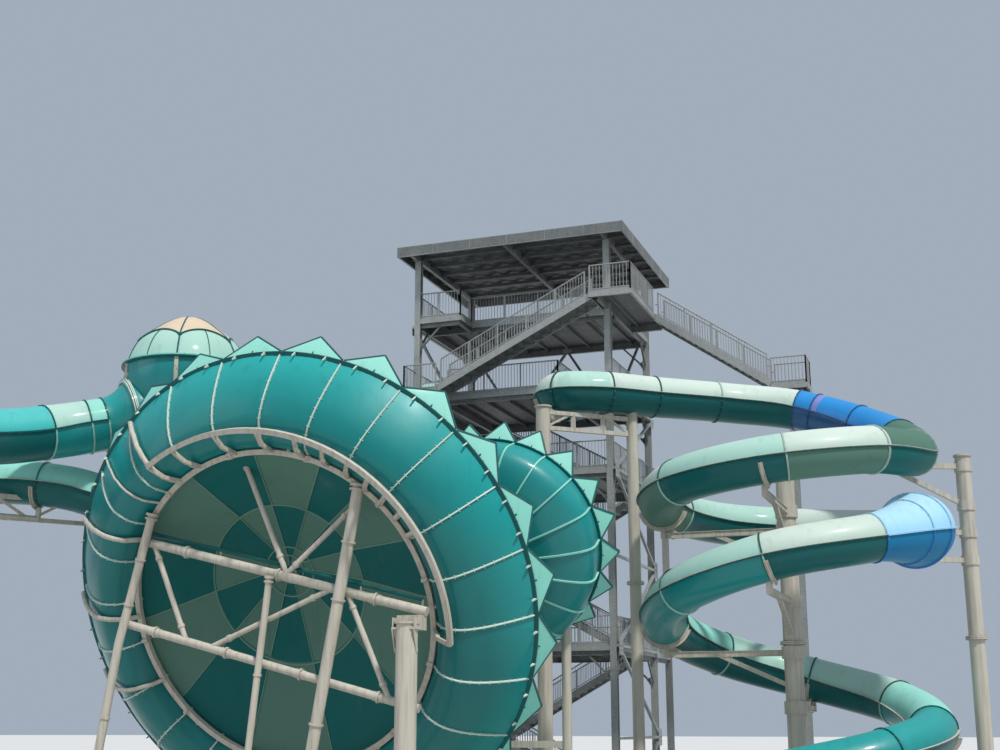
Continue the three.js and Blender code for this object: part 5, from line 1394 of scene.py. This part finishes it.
def guard(form, points, toe=True, lift=0.0):
    """A guard along floor points; lift raises the bottom rail over a flight's nosings."""
    low, high = UP * (0.14 + lift), UP * (GUARD - 0.01)
    for start, end in zip(points, points[1:]):
        length = (end - start).length
        for share in even_shares(max(1, math.ceil(length / POST_BAY))):
            foot = start.lerp(end, share)
            form.bar(foot - UP * 0.05, foot + UP * GUARD, 0.05)
        form.rod(start + high, end + high, 0.055, 10)
        form.bar(start + low, end + low, 0.035)
        for share in even_shares(max(2, int(length / BALUSTER_PITCH)))[1:-1]:
            foot = start.lerp(end, share)
            form.bar(foot + low, foot + high, 0.018)
        if toe:
            form.bar(start + UP * 0.06, end + UP * 0.06, 0.01, 0.11)


def i_beam(form, start, end):
    """A beam of two flanges and a web."""
    _, upright = member_axes(start, end)
    # Flanges and web take the dull copy of the steel: painted shade on the beams.
    for sense in (-1, 1):
        shift = upright * sense * (BEAM_DEPTH / 2 - 0.008)
        form.bar(start + shift, end + shift, BEAM_WIDTH, 0.016, 2)
    form.bar(start, end, 0.012, BEAM_DEPTH - 0.03, 2)


def sides(corners):
    """Each corner with the next one, all the way round."""
    return zip(corners, corners[1:] + corners[:1])


def spans(outline, x):
    """The stretches of the line at x that lie inside an outline."""
    cuts = sorted(y0 + (y1 - y0) * (x - x0) / (x1 - x0)
                  for (x0, y0), (x1, y1) in sides(outline) if (x0 > x) != (x1 > x))
    return zip(cuts[::2], cuts[1::2])


def floor_plate(form, level, outline, beams, joist=0.9):
    """Deck plate with a bright edge angle, I-beams and joists below it."""
    # The plate and the joists take the shaded copy of the steel: painted shade for the deck's underside.
    form.sheet([at(x, y, level - 0.02) for x, y in outline], 0.03, 3)
    for start, end in sides([at(x, y, level - 0.08) for x, y in outline]):
        form.bar(start, end, 0.014, 0.19)
        inward = (end - start).normalized().cross(UP) * -0.04 - UP * 0.09
        form.bar(start + inward, end + inward, 0.08, 0.012)
    for x0, y0, x1, y1 in beams:
        i_beam(form, at(x0, y0, level - 0.19), at(x1, y1, level - 0.19))
    low, high = min(x for x, _ in outline), max(x for x, _ in outline)
    for share in even_shares(int((high - low) / joist))[1:-1]:
        x = low + (high - low) * share
        for y0, y1 in spans(outline, x):
            form.bar(at(x, y0 + 0.02, level - 0.1), at(x, y1 - 0.02, level - 0.1), 0.05, 0.12, 3)


def corner_braces(form, level):
    """Knee braces with gussets where the beams of a deck meet a column."""
    for x in (0.0, BAY_X):
        for y in (0.0, BAY_Y):
            for reach in (at(-1 if x else 1, 0, 0), at(0, -1 if y else 1, 0)):
                corner = at(x, y, level - 0.33) + reach * 0.13
                form.bar(corner - UP * 0.85, corner + reach * 0.85, 0.07, kind=2)
                form.sheet([corner - UP * 0.98, corner - UP * 0.62, corner + reach * 0.2 - UP * 0.72], 0.014)
                for dz in (-0.92, -0.7):
                    form.stud(corner + UP * dz + reach * 0.05, at(reach.y, reach.x, 0), 0.02)


print("guards and beams ready")

# %% [markdown]
# Four decks close the tower's storeys. Each is a plate on joists and I-beams, so its outline, its beams and
# the lines of its guards are listed as flat points, and one loop builds them all. The lower two decks are
# alike, and on the top one a zigzag of bars braces the tower's back.

# %% Decks
low_deck = (
    [(-0.1, -0.1), (8.1, -0.1), (8.1, 8.5), (6.8, 8.5), (6.8, 6.1), (-0.1, 6.1)],
    [(0, 0, 8, 0), (0, 6, 8, 6), (0, 0, 0, 6), (8, 0, 8, 6), (4, 0, 4, 6), (6.9, 6, 6.9, 8.5),
     (8, 6, 8, 8.5)],
    [[(6.8, 6.05), (-0.05, 6.05), (-0.05, -0.05), (8.05, -0.05), (8.05, 8.45), (6.85, 8.45)]])
third_deck = (
    [(-0.1, -1.3), (1.3, -1.3), (1.3, -0.1), (6, -0.1), (6, 3.3), (7.86, 3.3), (7.86, -0.1), (8.1, -0.1),
     (8.1, 6.1), (1.2, 6.1), (1.2, 7.4), (-0.1, 7.4)],
    [(0, 0, 6, 0), (0, 6, 8, 6), (0, -1.3, 0, 7.4), (8, 0, 8, 6), (5.9, 0, 5.9, 6), (1.1, -1.3, 1.1, 7.4)],
    [[(-0.05, 7.3), (-0.05, -1.25), (1.3, -1.25)], [(1.35, -0.05), (5.95, -0.05), (5.95, 3.3)],
     [(8.05, -0.05), (8.05, 6.05), (1.2, 6.05)]])
top_deck = (
    [(-0.1, -0.1), (1.9, -0.1), (1.9, 1.2), (7.6, 1.2), (7.6, -1.3), (9.3, -1.3), (9.3, 3.7), (8.1, 3.7),
     (8.1, 6.1), (-0.1, 6.1)],
    [(0, 0, 1.8, 0), (0, 1.3, 8, 1.3), (0, 6, 8, 6), (0, 0, 0, 6), (8, -1.3, 8, 6), (1.8, 0, 1.8, 1.3),
     (8, 3.6, 9.3, 3.6)],
    [[(8.05, 3.7), (8.05, 6.05), (-0.05, 6.05), (-0.05, -0.05), (1.85, -0.05), (1.85, 1.25), (7.6, 1.25)],
     [(7.65, -1.25), (9.25, -1.25), (9.25, 2.3)]])
ZIGZAG = ((0.3, 1), (2.2, 0), (4.5, 1), (6.4, 0), (7.7, 1))
for i, (outline, beams, guards) in enumerate((low_deck, low_deck, third_deck, top_deck)):
    level = LEVELS[i]
    deck = zinc_steel(f"deck_{i + 1}_steelwork", f"deck_{i + 1}")
    floor_plate(deck, level, outline, beams)
    for line in guards:
        guard(deck, [at(x, y, level) for x, y in line])
    corner_braces(deck, level)
    if outline is top_deck[0]:
        ends = [at(x, BAY_Y, level - 0.21 if high else LEVELS[2] + 0.1) for x, high in ZIGZAG]
        deck.chain(ends, 0.1, kind=2)
        for x, _, z in ends[1:-1]:
            deck.block((x - 0.2, BAY_Y - 0.06, z - 0.09), (x + 0.2, BAY_Y - 0.045, z + 0.11))
    deck.build()

# %% [markdown]
# A flight is one folded plate: its risers and treads read as saw teeth from below. Two stringer plates
# close its sides. Cutting the steps out of a solid would hide those teeth, so each tread and riser is laid
# as its own thin plate.

# %% Flights and landings
RISERS = 18


def flight(form, foot, head, low, high):
    """A flight from foot to head, each an (x, z) pair, between two values of y."""
    going = (head[0] - foot[0]) / (RISERS - 1)
    rise = (head[1] - foot[1]) / RISERS
    near, far = low + 0.02, high - 0.02
    for k in range(1, RISERS):
        x0, x1 = foot[0] + going * (k - 1), foot[0] + going * k
        z = foot[1] + rise * k
        # Treads and risers take the dull copy of the steel: painted shade on the steps.
        form.block((min(x0, x1), near, z - 0.03), (max(x0, x1), far, z), 2)
        form.block((x0 - 0.008, near, max(z - rise - 0.03, 0)), (x0 + 0.008, far, z - 0.002), 2)
        form.block((x0 - 0.014, near + 0.01, z - 0.04), (x0 + 0.014, far - 0.01, z + 0.003))
    form.block((head[0] - 0.008, near, head[1] - rise - 0.03), (head[0] + 0.008, far, head[1] - 0.07), 2)
    for y, inward in ((low + 0.008, 0.02), (high - 0.008, -0.02)):
        start = at(foot[0], y, max(foot[1] + rise * 0.42, 0.134))
        end = at(head[0], y, head[1] - rise * 0.62)
        form.bar(start, end, 0.014, 0.27)
        for z in (-0.128, 0.128):
            form.bar(start + at(0, inward, z), end + at(0, inward, z), 0.05, 0.012)
    for y in (low + 0.05, high - 0.05):
        start = at(foot[0] + going / 2, y, foot[1] + rise)
        end = at(head[0] - going / 2, y, head[1] - rise)
        guard(form, [start, end], toe=False, lift=0.06)
        for sense, spot in ((-1, start + UP * 0.6), (1, end + UP * 0.6)):
            form.rod(spot, spot + at(math.copysign(0.12, going) * sense, 0, 0), 0.04, 8)


def landing(form, level, outline, beams, line):
    """A small deck between two flights, with its guard."""
    floor_plate(form, level, outline, beams, joist=0.45)
    guard(form, [at(x, y, level) for x, y in line])


print("flights ready")

# %% [markdown]
# A short stair in front joins the upper two decks, one on the right comes down to a landing on its own
# post, and the rear stairs wind up from the ground in two lanes. They all use the same flight.

# %% Stairs of the tower
LANES = (6.3, 7.3), (7.45, 8.45)
REAR_STAIR_X = (1.2, 6.8)

steps = zinc_steel("front_stair_flight", "front_stair")
flight(steps, (1.3, LEVELS[2]), (7.6, LEVELS[3]), -1.2, -0.15)
steps.build()

steps = zinc_steel("side_stair_flight", "side_stair")
flight(steps, (13.8, LEVELS[2]), (9.3, LEVELS[3]), 2.4, 3.6)
landing(steps, LEVELS[2], [(13.8, 2.4), (15.2, 2.4), (15.2, 3.6), (13.8, 3.6)],
        [(13.8, 3.0, 15.2, 3.0), (14.5, 2.4, 14.5, 3.6)],
        [(13.8, 2.45), (15.15, 2.45), (15.15, 3.55), (13.8, 3.55)])
base(steps, 14.5, 3.0, 0.6)
for y in (2.886, 3.114):
    steps.block((14.375, y - 0.011, 0.02), (14.625, y + 0.011, 16.2))
steps.block((14.49, 2.9, 0.02), (14.51, 3.1, 16.2), 2)
steps.build()

for name, storey in (("lower", 0), ("middle", 2)):
    steps = zinc_steel(f"rear_stair_{name}_flights", f"rear_stair_{name}")
    bottom, middle, top = (STOREY * (storey + n) for n in range(3))
    flight(steps, (REAR_STAIR_X[1], bottom), (REAR_STAIR_X[0], middle), *LANES[0])
    flight(steps, (REAR_STAIR_X[0], middle), (REAR_STAIR_X[1], top), *LANES[1])
    landing(steps, middle, [(-0.1, 6.125), (1.2, 6.125), (1.2, 8.5), (-0.1, 8.5)],
            [(0, 6.195, 1.2, 6.195), (0, 6.125, 0, 8.5), (0, 8.4, 1.2, 8.4)],
            [(-0.05, 6.195), (-0.05, 8.45), (1.15, 8.45)])
    steps.build()
steps = zinc_steel("rear_stair_upper_flight", "rear_stair_upper")
flight(steps, (REAR_STAIR_X[1], LEVELS[1]), (REAR_STAIR_X[0], LEVELS[2]), *LANES[0])
steps.build()

# %% [markdown]
# The roof is folded sheet on purlins with a deep edge channel. The sheet is laid as two rows of points, one
# at each eave, because its folds run straight from front to back.

# %% Roof
X0, X1, Y0, Y1 = -0.6, 8.9, -0.9, 6.9
SHEET_FOLDS = 48
PURLINS = 6

cover = zinc_steel("roof_cover", "roof")
# The lower sheet and the purlins take the shaded copy of the steel: painted shade for the roof's underside.
for z, kind in ((EAVE + 0.3, 3), (EAVE + 0.36, 0)):
    row = [at(X0 + 0.05 + (X1 - X0 - 0.1) * i / SHEET_FOLDS, Y0 + 0.05, z + (0.05 if i % 4 in (1, 2) else 0))
           for i in range(SHEET_FOLDS + 1)]
    cover.grid([row, [at(p.x, Y1 - 0.05, p.z) for p in row]], kind)
edge = ((X0, Y0), (X1, Y0), (X1, Y1), (X0, Y1))
for start, end in sides([at(x, y, (EAVE + RIDGE) / 2) for x, y in edge]):
    inward = UP.cross((end - start).normalized()) * 0.012
    cover.bar(start + inward, end + inward, 0.02, RIDGE - EAVE, 2)
    for level in (-0.2, 0.2):
        cover.bar(start + inward * 3 + UP * level, end + inward * 3 + UP * level, 0.07, 0.018)
    for share in even_shares(round((end - start).length / 1.6))[1:-1]:
        spot = start.lerp(end, share) + inward * 0.4
        cover.bar(spot - UP * 0.2, spot + UP * 0.2, 0.02, 0.05)
for x in (0, BAY_X / 2, BAY_X):
    i_beam(cover, at(x, Y0 + 0.04, EAVE + 0.15), at(x, Y1 - 0.04, EAVE + 0.15))
for share in even_shares(PURLINS + 1)[1:-1]:
    y = Y0 + (Y1 - Y0) * share
    cover.bar(at(X0 + 0.04, y, EAVE + 0.23), at(X1 - 0.04, y, EAVE + 0.23), 0.07, 0.14, 3)
cover.build()

# %% [markdown]
# Flat bars brace the tower's two ends, one diagonal a storey with a bolted gusset at each end. The
# diagonals change direction from storey to storey, which one loop over the storeys gives.

# %% Bracing
GUSSET = ((-0.1, -1), (0.42, -1), (0.42, 1), (-0.1, 1))

for name, x, storeys, sense in (("left", -0.1753, 6, 1), ("right", 8.1753, 5, -1)):
    lattice = zinc_steel(f"bracing_{name}_bars", f"bracing_{name}")
    for storey in range(storeys):
        low = max(storey * STOREY, 0.1)
        high = (storey + 1) * STOREY - (0.3 if storey + 1 == storeys else 0)
        near, far = (BAY_Y, 0) if storey % 2 else (0, BAY_Y)
        lattice.bar(at(x, near, low), at(x, far, high), 0.1)
        lattice.bar(at(x, -0.125, high), at(x, BAY_Y + 0.125, high), 0.1)
        for y, z in ((near, low + 0.16), (far, high - 0.16)):
            inward = 1 if y == 0 else -1
            tall = 0.17 if z > 1 else 0.1
            lattice.sheet([at(x - sense * 0.052, y + inward * a, z + tall * b) for a, b in GUSSET], 0.012)
            for a, b in ((0.05, 0), (0.16, 0.05), (0.3, 0.02)):
                lattice.stud(at(x - sense * 0.058, y + inward * a, z + b), at(-sense, 0, 0), 0.02)
    lattice.build()
print("tower dressed")

# %% [markdown]
# The ground is a plain pale floor, and the light is a soft key from the right with an even sky around it,
# so the colours of the gelcoat read clearly from every side. The floor belongs to the stage and not to the
# plant.

# %% Floor and light
FLOOR_REACH = 400
floor_mesh = bpy.data.meshes.new("studio_floor")
corners = [(x * FLOOR_REACH, y * FLOOR_REACH, -0.01) for x, y in ((-1, -1), (1, -1), (1, 1), (-1, 1))]
floor_mesh.from_pydata(corners, [], [(0, 1, 2, 3)])
paving = Finish("pale_floor", Roughness=0.9)
tone = paving.mix(paving.noise(0.2, 4.0), (0.62, 0.62, 0.61), (0.68, 0.68, 0.67))
floor_mesh.materials.append(paving.set(Base_Color=tone))
add_object("studio_floor", floor_mesh)

world = bpy.data.worlds.new("studio_sky")
world.use_nodes = True
background = world.node_tree.nodes["Background"]
background.inputs["Color"].default_value = (0.72, 0.84, 1.0, 1.0)
background.inputs["Strength"].default_value = 0.5
bpy.context.scene.world = world
bpy.context.scene.view_settings.view_transform = "Standard"


def sun(name, direction, strength, softness, colour):
    data = bpy.data.lights.new(name, "SUN")
    data.energy, data.angle, data.color = strength, math.radians(softness), colour
    aim(add_object(name, data), direction)


sun("key_light", (-0.5, 0.4, -0.9), 3.0, 5, (1.0, 0.97, 0.92))
sun("fill_light", (0.6, 0.5, -0.35), 0.35, 40, (0.9, 0.95, 1.0))
print("floor and light set")
